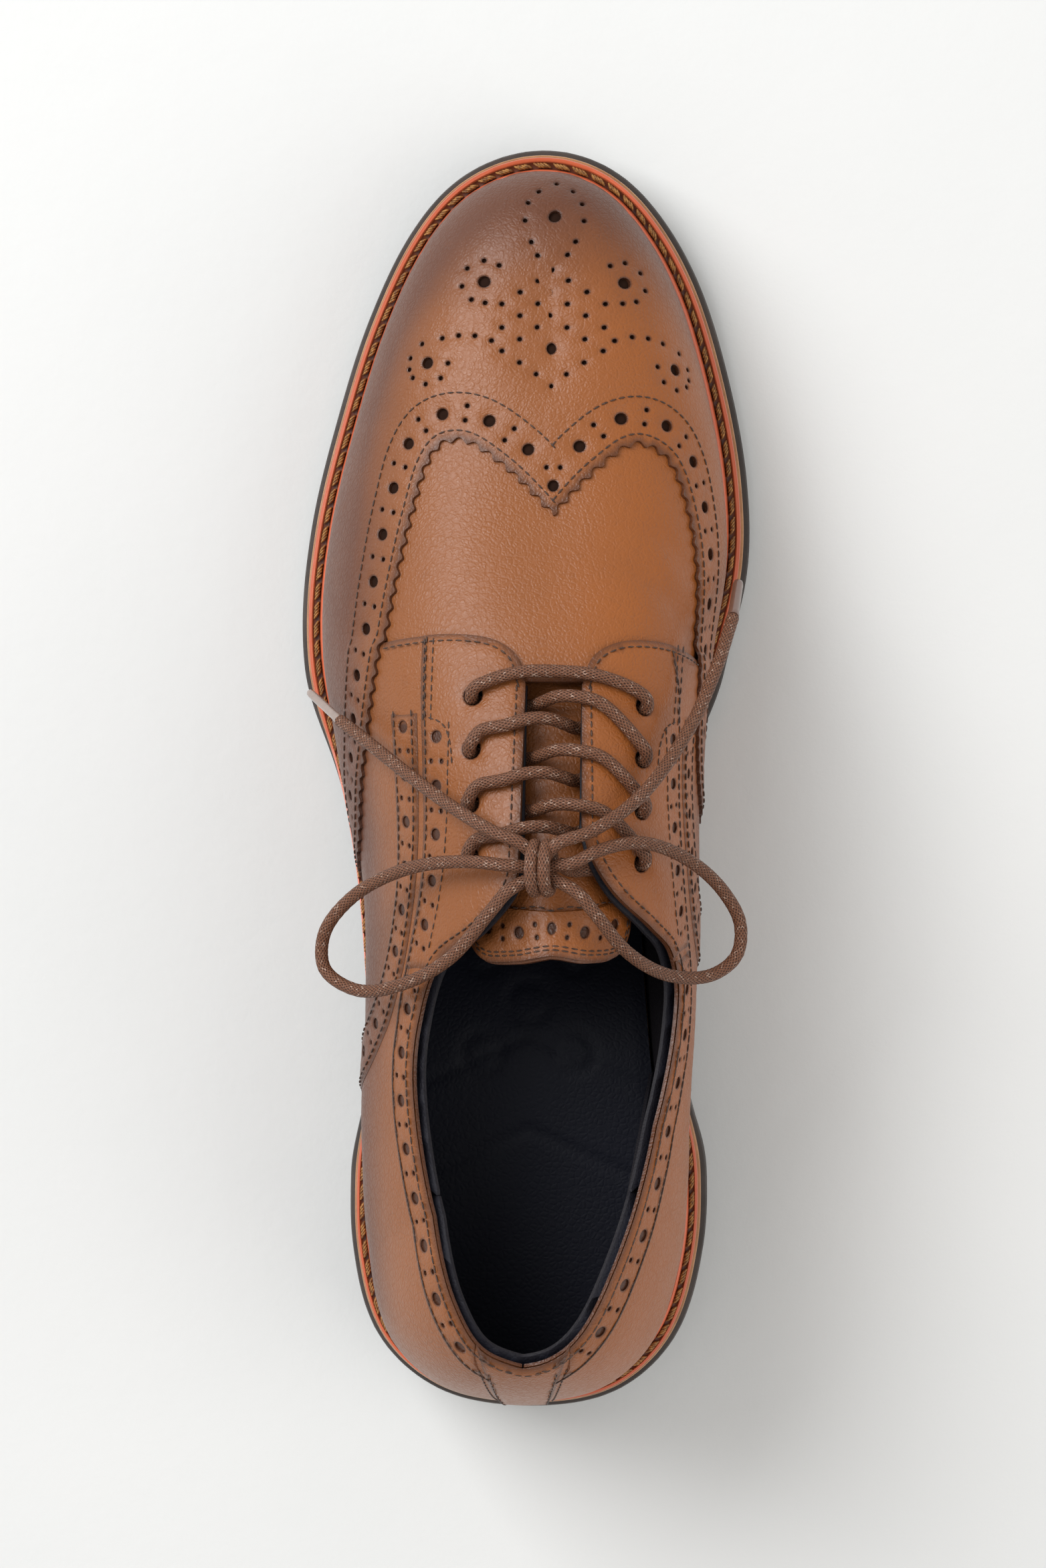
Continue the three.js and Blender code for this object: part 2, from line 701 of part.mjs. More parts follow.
const cushionLevel = insoleLevel + INSOLE + SEAM_GAP;
const sockLevel = cushionLevel + CUSHION + SEAM_GAP;
const footCushion = () => toGeometry(soleLayer(insideShape(2 * SEAM_GAP), cushionLevel, CUSHION));
const sockLiner = () => toGeometry(soleLayer(insideShape(2 * SEAM_GAP), sockLevel, SOCK));

// ---------------------------------------------------------------- heel

function heelSlice(from, to, inset) {
  const shape = new THREE.Shape(weltOutline(MIDSOLE_REACH + OUTSOLE_REACH - inset));
  const back = profileSlab(-0.6 * SHOE_LENGTH, HEEL_BREAST, 200, () => from, () => to);
  return back.intersect(prism(shape, -20, 100));
}

const HEEL_TAPER = 0.35;          // each lift steps in by this much, going down
const heelTopPiece = () => toGeometry(heelSlice(0, TOP_PIECE, HEEL_TAPER * (HEEL_LIFTS + 1)));

function heelLift(number) {
  const from = TOP_PIECE + SEAM_GAP + (number - 1) * (HEEL_LIFT + SEAM_GAP);
  return drilled(heelSlice(from, from + HEEL_LIFT, HEEL_TAPER * (HEEL_LIFTS + 1 - number)));
}

// ---------------------------------------------------------------- laces

function tube(points, steps) {
  const section = new THREE.Shape(circle(new THREE.Vector2(0, 0), laceRadius, 8));
  const path = new THREE.CatmullRomCurve3(points, false, 'centripetal');
  return new THREE.ExtrudeGeometry(section, { steps, bevelEnabled: false, extrudePath: path });
}

// The held lace: a bar over the first pair, then two strands that cross in the gap up to the knot.
// Each strand dives through an eyelet, runs under its facing, and rises in the gap.
const SWEEP = 4.4;                // distance over which the lace turns into an eyelet
const GAP_HALF = FACING_GAP / 2;

function dive(eyelet, towardGap, goingDown) {
  const steps = [
    [towardGap * SWEEP, laceOver],
    [towardGap * 1.2, laceOver - 0.1],
    [-towardGap * 0.4, laceOver - 1.8],
    [-towardGap * 0.4, 1.4],
    [towardGap * 1.2, laceUnder - 0.1],
    [towardGap * SWEEP, laceUnder],
  ];
  const places = steps.map(([shift, offset]) => wrap(eyelet.x + shift, eyelet.y, offset));
  return goingDown ? places : places.reverse();
}

function crossing(side, fromY, toY, high) {
  const centre = GAP_CENTRE * gradeX;
  const from = GAP_HALF - 1.2;
  const route = high
    ? [[from, 0.15, laceUnder], [2.8, 0.35, 1.6], [-0.6, 0.55, laceOver - 0.6], [-GAP_HALF, 0.75, laceOver]]
    : [[from, 0.2, laceUnder], [2.6, 0.35, -0.4], [-0.6, 0.6, 3.0], [-3.6, 0.8, 6.2], [-GAP_HALF - 1.5, 0.92, laceOver]];
  return route.map(([across, share, offset]) => (
    wrap(centre + side * across, THREE.MathUtils.lerp(fromY, toY, share), offset)
  ));
}

function strand(startSide, high) {
  const rows = { [-1]: eyeletPlaces(-1), [1]: eyeletPlaces(1) };
  const places = [];
  let side = startSide;
  for (let pair = 0; pair < EYELET_PAIRS; pair++) {
    const eyelet = rows[side][pair];
    const down = dive(eyelet, -side, true);
    places.push(...(pair === 0 ? down.slice(1) : down));
    if (pair === EYELET_PAIRS - 1) break;
    const target = rows[-side][pair + 1];
    places.push(...crossing(side, eyelet.y, target.y, high));
    side = -side;
  }
  const last = rows[side][EYELET_PAIRS - 1];
  const centre = GAP_CENTRE * gradeX;
  const endHeights = [[GAP_HALF + 3.5, laceUnder + 0.1], [GAP_HALF - 1, laceUnder], [3.4, -0.2], [2.4, 4.4]];
  places.push(...endHeights.map(([across, offset]) => wrap(centre + side * across, last.y, offset)));
  return places;
}

function lacing() {
  const barLateral = eyeletPlaces(-1)[0];
  const barMedial = eyeletPlaces(1)[0];
  const bar = [0.12, 0.31, 0.5, 0.69, 0.88].map((share) => wrap(
    THREE.MathUtils.lerp(barLateral.x, barMedial.x, share),
    THREE.MathUtils.lerp(barLateral.y, barMedial.y, share),
    laceOver,
  ));
  const route = [...reversed(strand(-1, true)), ...bar, ...strand(1, false)];
  return tube(route, 120);
}

const KNOT_PLACE = new THREE.Vector3(7.6, -19, 101.8);
function knot() {
  const geometry = new THREE.SphereGeometry(1, 12, 8);
  geometry.scale(7.3, 5.6, 4.9);
  geometry.translate(KNOT_PLACE.x, KNOT_PLACE.y, KNOT_PLACE.z);
  return geometry;
}

const looseCord = (points, steps) => tube(points.map((place) => new THREE.Vector3(...place)), steps);

const loopLateral = () => looseCord([
  [0, -18.2, 102], [-10, -17.6, 97], [-24, -20, 86], [-37, -27, 76], [-44, -36, 70.5], [-44, -44, 69.5],
  [-36.5, -48.6, 74], [-25, -46.6, 84], [-13, -39.6, 94], [-3.6, -28.6, 100], [0.4, -24, 101.5],
], 16);

const loopMedial = () => looseCord([
  [15.2, -17.6, 102], [20, -15.2, 101], [30, -13.4, 93.5], [41, -18, 82], [49, -26, 73], [52.6, -33.6, 69],
  [51.8, -40.6, 69], [46.6, -44.8, 72.5], [37, -44.6, 82], [27, -38, 96], [20.4, -29.4, 102], [16, -24.2, 103],
], 16);

const tailLateral = () => looseCord([
  [3.4, -13.2, 103], [-3, -10.6, 101.4], [-12.8, -5.4, 92.5], [-24, 1.8, 80.5], [-34, 8.6, 68], [-41.2, 13.2, 57.2],
], 10);

const tailMedial = () => looseCord([
  [11.6, -13.2, 103.4], [19, -10.6, 101], [30, -3, 91], [40.6, 11.6, 76], [46.8, 25.6, 62], [50.4, 37.2, 48.6],
], 12);

// An aglet sits on the end of its lace tail.
function aglet(start, end, radius) {
  const section = new THREE.Shape(circle(new THREE.Vector2(0, 0), radius, 8));
  const path = new THREE.LineCurve3(new THREE.Vector3(...start), new THREE.Vector3(...end));
  return new THREE.ExtrudeGeometry(section, { steps: 1, bevelEnabled: false, extrudePath: path });
}

const agletLateral = () => aglet([-41.4, 13.4, 56.9], [-49.6, 19.6, 43.9], 1.05);
const agletMedial = () => aglet([50.5, 37.6, 48.1], [51.6, 45.6, 37.6], 1.3);

// ---------------------------------------------------------------- assembly

const TAN = { color: 0xa9683a, roughness: 0.42 };
const DARK_TAN = { color: 0x8a4f2c, roughness: 0.45 };
const NAVY = { color: 0x23283a, roughness: 0.85 };
const LACE = { color: 0x5e4636, roughness: 0.7 };
const STEEL = { color: 0x9a9da2, roughness: 0.35, metalness: 1 };
const BRASS = { color: 0xb08a48, roughness: 0.4, metalness: 1 };

const shoe = new THREE.Group();

function add(name, geometry, look) {
  const mesh = new THREE.Mesh(geometry, new THREE.MeshStandardMaterial({ metalness: 0, ...look }));
  mesh.name = name;
  shoe.add(mesh);
}

add('wing_cap', wing(), DARK_TAN);
add('vamp', vamp(), TAN);
add('toe_puff', toePuff(), { color: 0xd8c8a4, roughness: 0.9 });
add('heel_counter', heelCounter(), { color: 0xcdbb94, roughness: 0.9 });
add('heel_strip', heelStrip(), DARK_TAN);
add('vamp_lining', vampLining(), NAVY);
add('heel_lining', heelLining(), NAVY);
for (const [name, side] of [['lateral', -1], ['medial', 1]]) {
  add(`quarter_${name}`, quarter(side), TAN);
  add(`eyestay_${name}`, eyestay(side), TAN);
  add(`collar_band_${name}`, collarBand(side), TAN);
  add(`side_band_${name}`, sideBand(side), TAN);
  add(`quarter_lining_${name}`, quarterLining(side), NAVY);
  eyeletPlaces(side).forEach((place, i) => {
    add(`eyelet_${name}_${i + 1}`, eyeletRing(place), BRASS);
  });
}

add('tongue', tongue(), TAN);
add('tongue_facing', tongueFacing(), TAN);
add('tongue_lining', tongueLining(), NAVY);

add('insole_board', insoleBoard(), { color: 0xc8b48a, roughness: 0.95 });
add('foot_cushion', footCushion(), { color: 0xd9d2c0, roughness: 1 });
add('sock_liner', sockLiner(), { color: 0x14161f, roughness: 0.8 });
add('cork_filler', corkFiller(), { color: 0xa67c4e, roughness: 1 });
add('shank', shank(), STEEL);
add('welt', welt(), { color: 0xc0663a, roughness: 0.5 });
add('midsole', midsole(), { color: 0xb98a58, roughness: 0.6 });
add('outsole', outsole(), { color: 0x3a322d, roughness: 0.8 });
for (let number = 1; number <= HEEL_LIFTS; number++) {
  add(`heel_lift_${number}`, heelLift(number), { color: 0x4a3a2e, roughness: 0.7 });
}
add('heel_top_piece', heelTopPiece(), { color: 0x26221f, roughness: 0.9 });
nailPlaces.forEach((place, i) => add(`heel_nail_${i + 1}`, nail(place, NAIL_RADIUS, NAIL_BASE, nailTop), BRASS));

add('lacing', lacing(), LACE);
add('knot', knot(), LACE);
add('loop_lateral', loopLateral(), LACE);
add('loop_medial', loopMedial(), LACE);
add('tail_lateral', tailLateral(), LACE);
add('tail_medial', tailMedial(), LACE);
add('aglet_lateral', agletLateral(), { color: 0x8d8272, roughness: 0.15 });
add('aglet_medial', agletMedial(), { color: 0x6a4c34, roughness: 0.3 });

export default shoe;
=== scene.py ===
"""Left full-brogue leather shoe with open lacing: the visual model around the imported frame.

Sizes are in millimetres in the shared frame (+Y to the toe, +X to the inner side, +Z up) and turn into
metres only when a mesh is made. The upper is drawn as flat pattern pieces and wrapped on the last, as in
the CAD part.
"""

import math

import bpy
import numpy as np
from mathutils import Matrix, Vector
from mathutils.bvhtree import BVHTree
from mathutils.geometry import delaunay_2d_cdt
from mathutils.kdtree import KDTree


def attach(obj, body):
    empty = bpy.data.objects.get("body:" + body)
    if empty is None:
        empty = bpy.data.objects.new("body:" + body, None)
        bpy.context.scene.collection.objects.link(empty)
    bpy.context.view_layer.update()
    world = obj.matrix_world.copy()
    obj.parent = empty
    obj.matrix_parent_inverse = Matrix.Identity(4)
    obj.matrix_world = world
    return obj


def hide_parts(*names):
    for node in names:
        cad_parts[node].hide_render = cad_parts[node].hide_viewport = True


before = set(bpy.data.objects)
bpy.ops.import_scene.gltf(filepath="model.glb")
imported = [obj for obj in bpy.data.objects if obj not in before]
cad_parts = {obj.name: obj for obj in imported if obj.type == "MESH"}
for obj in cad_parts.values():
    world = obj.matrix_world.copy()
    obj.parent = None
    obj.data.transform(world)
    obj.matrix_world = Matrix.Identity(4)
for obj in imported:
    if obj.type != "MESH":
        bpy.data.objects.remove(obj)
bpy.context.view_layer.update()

MM = 0.001
SHOE = "shoe"
TONGUE = "tongue"
LATERAL = -1
MEDIAL = 1
SIDES = ((LATERAL, "lateral"), (MEDIAL, "medial"))

# ---------------------------------------------------------------- sizes shared with the CAD part

LEATHER = 1.0
SEAM_GAP = 0.3
OUTSOLE = 6.0
MIDSOLE = 3.0
WELT = 3.0
WELT_REACH_TOE = 5.0
WELT_REACH_HEEL = 3.4
MIDSOLE_REACH = 1.0
OUTSOLE_REACH = 1.0
TOE_SPRING = 11.0
INSOLE = 2.5
CUSHION = 1.5
SOCK = 1.2
TOP_PIECE = 6.0
HEEL_LIFT = 4.7
HEEL_LIFTS = 3
HEEL_TAPER = 0.35
HEEL_BREAST = -72.0
ARCH_START = 12.0
LACE_RADIUS = 1.55
HOLE_RADIUS = 2.2
FACING_GAP = 12.5
EYELET_PITCH = 12.0
EYELET_PAIRS = 4

HEEL_HEIGHT = TOP_PIECE + HEEL_LIFTS * (HEEL_LIFT + SEAM_GAP) + SEAM_GAP
MIDSOLE_LEVEL = OUTSOLE + SEAM_GAP
WELT_LEVEL = MIDSOLE_LEVEL + MIDSOLE + SEAM_GAP
INSOLE_LEVEL = WELT_LEVEL + WELT + SEAM_GAP
FEATHER_LEVEL = INSOLE_LEVEL + SEAM_GAP
CUSHION_LEVEL = INSOLE_LEVEL + INSOLE + SEAM_GAP
SOCK_LEVEL = CUSHION_LEVEL + CUSHION + SEAM_GAP
UPPER_THICKNESS = 3 * (LEATHER + SEAM_GAP) + LEATHER

# Offsets from the last of the faces that show.
LINING_FACE = 2.4
VAMP_FACE = 2.5
QUARTER_FACE = 3.7
OVERLAY_FACE = 4.35
WING_THICKNESS = 1.15
SIDE_BAND_FACE = OVERLAY_FACE - 0.1
STRIP_FACE = OVERLAY_FACE + 0.25


# ---------------------------------------------------------------- numbers and curves

def smoothstep(values, low, high):
    share = np.clip((np.asarray(values, float) - low) / (high - low), 0, 1)
    return share * share * (3 - 2 * share)


def bell(values, centre, spread):
    return np.exp(-(((values - centre) / spread) ** 2))


def centripetal(points, per_span=24):
    """Centripetal Catmull-Rom curve through points."""
    pts = np.array(points, float)
    ends = np.vstack([2 * pts[0] - pts[1], pts, 2 * pts[-1] - pts[-2]])
    share = np.linspace(0, 1, per_span, endpoint=False)[:, None]
    spans = []
    for p0, p1, p2, p3 in zip(ends, ends[1:], ends[2:], ends[3:]):
        d0, d1, d2 = (np.linalg.norm(b - a) ** 0.5 for a, b in ((p0, p1), (p1, p2), (p2, p3)))
        leave = ((p1 - p0) / d0 - (p2 - p0) / (d0 + d1) + (p2 - p1) / d1) * d1
        arrive = ((p2 - p1) / d1 - (p3 - p1) / (d1 + d2) + (p3 - p2) / d2) * d1
        cubic = 2 * p1 - 2 * p2 + leave + arrive
        square = -3 * p1 + 3 * p2 - 2 * leave - arrive
        spans.append(p1 + leave * share + square * share ** 2 + cubic * share ** 3)
    return np.vstack(spans + [pts[-1:]])


def lengths_of(line):
    steps = np.linalg.norm(np.diff(line, axis=0), axis=1)
    return np.concatenate([[0], np.cumsum(steps)])


def read_along(line, targets):
    """Points of a polyline at distances from its start."""
    run = lengths_of(line)
    return np.stack([np.interp(targets, run, line[:, i]) for i in range(line.shape[1])], axis=1)


def resample(line, step):
    run = lengths_of(line)[-1]
    count = max(2, int(round(run / step)) + 1)
    return read_along(line, np.linspace(0, run, count))


def parallel(line, distance):
    """A polyline moved sideways by distance, to its left when positive, without its folded points."""
    along = np.gradient(line, axis=0)
    along /= np.linalg.norm(along, axis=1)[:, None]
    left = np.stack([-along[:, 1], along[:, 0]], axis=1)
    moved = line + left * distance
    tree = KDTree(len(line))
    for i, point in enumerate(line):
        tree.insert((point[0], point[1], 0), i)
    tree.balance()
    keep = [tree.find((x, y, 0))[2] > abs(distance) - 0.05 for x, y in moved]
    return moved[keep]


def inside(points, loop):
    """Which points lie inside a closed loop."""
    x, y = points[:, 0:1], points[:, 1:2]
    x0, y0 = loop[:, 0], loop[:, 1]
    x1, y1 = np.roll(x0, -1), np.roll(y0, -1)
    crosses = (y0 > y) != (y1 > y)
    rise = np.where(y1 == y0, 1e-12, y1 - y0)
    reach = (x1 - x0) * (y - y0) / rise + x0
    return (np.sum(crosses & (x < reach), axis=1) % 2) == 1


# ---------------------------------------------------------------- the last

HEEL_POINT = (2.5, -142)
TOE_POINT = (4, 138)
FEATHER_LATERAL = [
    HEEL_POINT, (-14, -139.5), (-25.5, -130), (-30.5, -112), (-30.5, -85), (-31, -55), (-33.5, -25),
    (-38.5, 3), (-42.5, 32), (-40.5, 56), (-34.5, 81), (-27, 104), (-17.5, 123), (-8, 133.5), TOE_POINT,
]
FEATHER_MEDIAL = [
    HEEL_POINT, (17, -139.5), (27.5, -130), (33, -112), (33.5, -92), (30.5, -62), (28.5, -30), (30.5, 0),
    (36.5, 28), (41.5, 50), (41.3, 68), (37.8, 88.5), (30.8, 112), (23, 126), (14.5, 134.8), TOE_POINT,
]
RIDGE = [
    (5, -112, 104), (7.8, -70, 103), (9.5, -30, 96), (9.8, 0, 86),
    (9.6, 30, 72), (9, 62, 57), (8, 90, 48.5), (7, 110, 43.5),
]
ROUNDNESS_LATERAL = [(-142, 2.1), (-110, 1.55), (-60, 1.5), (0, 1.9), (60, 2.2), (138, 2.5)]
ROUNDNESS_MEDIAL = [(-142, 2.1), (-80, 1.85), (-20, 2.5), (20, 2.7), (60, 2.4), (138, 2.5)]


def sole_bottom(y):
    """Height of the sole's lower face above the ground."""
    toe = np.maximum(0, np.asarray(y, float) - 80) / 70
    return TOE_SPRING * toe * toe + HEEL_HEIGHT * smoothstep(-np.asarray(y, float), -ARCH_START, -HEEL_BREAST)


def table_value(table, y):
    return np.interp(y, [row[0] for row in table], [row[1] for row in table])


class Last:
    """The surface that the upper is wrapped on, as a net of columns (heel to toe) and rows (side to side)."""

    def __init__(self, columns=150, rows=56):
        self.columns = columns
        self.rows = rows
        shape = (columns + 1, 2 * rows + 1)
        self.point = np.zeros(shape + (3,))
        self.flat = np.zeros(shape + (2,))
        feet = {-1: centripetal(FEATHER_LATERAL), 1: centripetal(FEATHER_MEDIAL)}
        ridge = centripetal(RIDGE)
        for column in range(columns + 1):
            share = column / columns
            foot = {side: read_along(line, [share * lengths_of(line)[-1]])[0] for side, line in feet.items()}
            middle = (foot[-1][1] + foot[1][1]) / 2
            along = (middle - HEEL_POINT[1]) / (TOE_POINT[1] - HEEL_POINT[1])
            top_y = ridge[0, 1] + (ridge[-1, 1] - ridge[0, 1]) * along
            top = np.array([np.interp(top_y, ridge[:, 1], ridge[:, i]) for i in range(3)])
            slope = (np.interp(top_y + 1, ridge[:, 1], ridge[:, 2])
                     - np.interp(top_y - 1, ridge[:, 1], ridge[:, 2])) / 2
            for side in (-1, 1):
                points, flat = self.section(side, foot[side], top, slope)
                order = rows + side * np.arange(rows + 1)
                self.point[column, order] = points
                self.flat[column, order] = flat
        self.relax()
        self.normal = self.find_normals()
        self.tree = self.flat_tree()

    def relax(self, rounds=14):
        """Ease the fold where the two sides meet at toe and heel."""
        row = np.abs(np.arange(2 * self.rows + 1) - self.rows)[None, :, None] / self.rows
        column = np.arange(self.columns + 1)[:, None, None]
        along = 0.5 * (bell(column, 0, 7) + bell(column, self.columns, 9)) * smoothstep(row, 0.1, 0.5)
        for _ in range(rounds):
            grown = self.padded(self.point)
            before = (grown[:-2, 1:-1] + grown[2:, 1:-1]) / 2
            self.point = self.point + along * (before - self.point)

    def section(self, side, foot, top, slope):
        outward = foot - top[:2]
        width = np.linalg.norm(outward)
        outward = outward / width
        roundness = table_value(ROUNDNESS_LATERAL if side < 0 else ROUNDNESS_MEDIAL, foot[1])
        swell = 2.5 + (6 * bell(foot[1], -80, 38) if side < 0 else 9.5 * bell(foot[1], -36, 58))
        base = sole_bottom(foot[1]) + FEATHER_LEVEL
        angle = np.linspace(math.pi / 2, 0, 400)
        across = np.clip(np.cos(angle), 0, 1) ** (2 / roundness)
        up = np.sin(angle) ** (2 / roundness)
        reach = (width + swell * smoothstep(up, 0, 0.35)) * across
        # Near the ridge the section leans with the ridge's own slope, so that the two sides meet smoothly.
        lean = slope * outward[1] * reach * np.exp(-reach / 13) * up
        line = np.column_stack([top[0] + outward[0] * reach, top[1] + outward[1] * reach,
                                base + (top[2] - base) * up + lean])
        targets = np.linspace(0, lengths_of(line)[-1], self.rows + 1)
        return read_along(line, targets), top[:2] + outward * targets[:, None]

    def padded(self, values):
        """One more column and row at each edge: folded round at heel and toe, drawn on past the feather."""
        grown = np.concatenate([values[1:2, ::-1], values, values[-2:-1, ::-1]], axis=0)
        low = 2 * grown[:, 0:1] - grown[:, 1:2]
        high = 2 * grown[:, -1:] - grown[:, -2:-1]
        return np.concatenate([low, grown, high], axis=1)

    def find_normals(self):
        grown = self.padded(self.point)
        along = grown[2:, 1:-1] - grown[:-2, 1:-1]
        across = grown[1:-1, 2:] - grown[1:-1, :-2]
        normal = np.cross(across, along)
        normal /= np.linalg.norm(normal, axis=2)[:, :, None]
        # The upper's foot stands upright and follows the sole.
        row = np.abs(np.arange(2 * self.rows + 1) - self.rows) / self.rows
        upright = smoothstep(row, 0.9, 1.0)[None, :, None]
        level = normal * [1, 1, 0]
        level /= np.maximum(np.linalg.norm(level, axis=2), 1e-6)[:, :, None]
        y = self.point[:, :, 1]
        outer = y + level[:, :, 1] * UPPER_THICKNESS
        level[:, :, 2] = (sole_bottom(outer) - sole_bottom(y)) / UPPER_THICKNESS
        return normal * (1 - upright) + level * upright

    def flat_tree(self):
        width = 2 * self.rows + 1
        corner = np.arange(self.columns)[:, None] * width + np.arange(2 * self.rows)[None, :]
        corner = corner.reshape(-1)
        self.triangles = np.concatenate([
            np.stack([corner, corner + 1, corner + width + 1], axis=1),
            np.stack([corner, corner + width + 1, corner + width], axis=1),
        ])
        self.flat_points = self.flat.reshape(-1, 2)
        vertices = [(x, y, 0.0) for x, y in self.flat_points]
        return BVHTree.FromPolygons(vertices, self.triangles.tolist(), epsilon=0.0)

    def locate(self, xy):
        """Column and row, as fractions, of flat points."""
        xy = np.asarray(xy, float).reshape(-1, 2)
        index = np.array([self.tree.find_nearest((x, y, 0.0))[2] for x, y in xy])
        corners = self.triangles[index]
        a, b, c = (self.flat_points[corners[:, i]] for i in range(3))
        area = np.cross(b - a, c - a)
        share_b = np.cross(xy - a, c - a) / area
        share_c = np.cross(b - a, xy - a) / area
        shares = np.clip(np.stack([1 - share_b - share_c, share_b, share_c], axis=1), 0, 1)
        shares /= shares.sum(axis=1)[:, None]
        column = corners // (2 * self.rows + 1)
        row = corners % (2 * self.rows + 1)
        return (column * shares).sum(axis=1), (row * shares).sum(axis=1)

    def read(self, values, column, row):
        """Smooth reading of a net's values between its nodes."""
        grown = self.padded(values)
        k = np.clip(np.floor(column).astype(int), 0, self.columns - 1)
        r = np.clip(np.floor(row).astype(int), 0, 2 * self.rows - 1)
        u, v = (column - k)[:, None], (row - r)[:, None]

        def weights(t):
            return (
                (-t + 2 * t ** 2 - t ** 3) / 2, (2 - 5 * t ** 2 + 3 * t ** 3) / 2,
                (t + 4 * t ** 2 - 3 * t ** 3) / 2, (-t ** 2 + t ** 3) / 2,
            )

        total = 0
        for i, wu in enumerate(weights(u)):
            for j, wv in enumerate(weights(v)):
                ki = np.clip(k + i, 0, self.columns + 2)
                total = total + wu * wv * grown[ki, r + j]
        return total

    def wrap(self, xy, offset):
        column, row = self.locate(xy)
        normal = self.read(self.normal, column, row)
        return self.read(self.point, column, row) + normal * np.asarray(offset, float).reshape(-1, 1)

    def height_share(self, xy):
        """0 on the ridge, 1 on the feather line."""
        return np.abs(self.locate(xy)[1] - self.rows) / self.rows


last = Last()
feather_flat = np.concatenate([last.flat[:, 0], last.flat[::-1, -1][1:-1]])


# ---------------------------------------------------------------- camera

camera_data = bpy.data.cameras.new("camera")
camera = bpy.data.objects.new("camera", camera_data)
bpy.context.scene.collection.objects.link(camera)
camera.location = Vector((72, 56, 1500)) * MM
aim = Vector((1, -2, 45)) * MM
ahead = (aim - camera.location).normalized()
right = ahead.cross(Vector((0, 1, 0))).normalized()
camera.rotation_euler = Matrix((right, right.cross(ahead), -ahead)).transposed().to_euler()
camera_data.lens = 142
camera_data.clip_start = 0.05
bpy.context.scene.camera = camera


# ---------------------------------------------------------------- shader maths

class Nodes:
    """A material's node tree, with one method that adds any node."""

    def __init__(self, name):
        self.material = bpy.data.materials.new(name)
        self.material.use_nodes = True
        self.tree = self.material.node_tree
        self.tree.nodes.clear()

    def add(self, kind, settings=None, out=0, **sockets):
        node = self.tree.nodes.new(kind)
        for key, value in (settings or {}).items():
            setattr(node, key, value)
        for key, value in sockets.items():
            self.feed(node.inputs[int(key[1:]) if key[0] == "_" else key.replace("_", " ")], value)
        return Value(self, node.outputs[out])

    def feed(self, socket, value):
        if isinstance(value, Value):
            self.tree.links.new(value.socket, socket)
        elif isinstance(value, (tuple, list)) and len(value) == 3 and socket.type == "RGBA":
            socket.default_value = (*value, 1)
        else:
            socket.default_value = value

    def mix(self, factor, first, second):
        return self.add("ShaderNodeMix", {"data_type": "RGBA"}, out=2, _0=factor, _6=first, _7=second)

    def noise(self, scale, detail=3.0, roughness=0.5, vector=None):
        return self.add("ShaderNodeTexNoise", Scale=scale, Detail=detail, Roughness=roughness,
                        Vector=vector or self.place())

    def cells(self, scale, feature="DISTANCE_TO_EDGE", vector=None):
        return self.add("ShaderNodeTexVoronoi", {"feature": feature}, Scale=scale,
                        Vector=vector or self.place())

    def place(self):
        return self.add("ShaderNodeTexCoord", out=3)

    def attribute(self, name, out=2):
        return self.add("ShaderNodeAttribute", {"attribute_name": name}, out=out)

    def bump(self, height, strength, distance):
        return self.add("ShaderNodeBump", Height=height, Strength=strength, Distance=distance)

    def finish(self, colour, roughness, normal=None, **constants):
        shader = self.tree.nodes.new("ShaderNodeBsdfPrincipled")
        self.feed(shader.inputs["Base Color"], colour)
        self.feed(shader.inputs["Roughness"], roughness)
        if normal is not None:
            self.feed(shader.inputs["Normal"], normal)
        for key, value in constants.items():
            self.feed(shader.inputs[key.replace("_", " ")], value)
        output = self.tree.nodes.new("ShaderNodeOutputMaterial")
        self.tree.links.new(shader.outputs[0], output.inputs[0])
        return self.material


class Value:
    """A socket that Python's operators turn into Math nodes."""

    def __init__(self, nodes, socket):
        self.nodes = nodes
        self.socket = socket

    def math(self, operation, *others):
        sockets = {f"_{i}": value for i, value in enumerate((self, *others))}
        return self.nodes.add("ShaderNodeMath", {"operation": operation}, **sockets)

    def __add__(self, other):
        return self.math("ADD", other)

    __radd__ = __add__

    def __mul__(self, other):
        return self.math("MULTIPLY", other)

    __rmul__ = __mul__

    def __sub__(self, other):
        return self.math("SUBTRACT", other)

    def __rsub__(self, other):
        return self * -1 + other

    def sine(self):
        return self.math("SINE")

    def size(self):
        return self.math("ABSOLUTE")

    def most(self, other):
        return self.math("MAXIMUM", other)

    def step(self, low, high):
        """0 below low, 1 above high, smooth between."""
        return self.nodes.add("ShaderNodeMapRange", {"interpolation_type": "SMOOTHSTEP"},
                              Value=self, From_Min=low, From_Max=high)


# ---------------------------------------------------------------- materials

TAN = (0.285, 0.094, 0.026)
# Painted light: brighter, more saturated amber for the inner side.
AMBER_PAINTED_LIGHT = (0.35, 0.100, 0.017)
BURNISH = (0.098, 0.034, 0.019)
# Dark brown of cut edges and inner faces, also painted shade on hole rims and under covering pieces.
EDGE_AND_HOLE_SHADE_BROWN = (0.045, 0.016, 0.009)


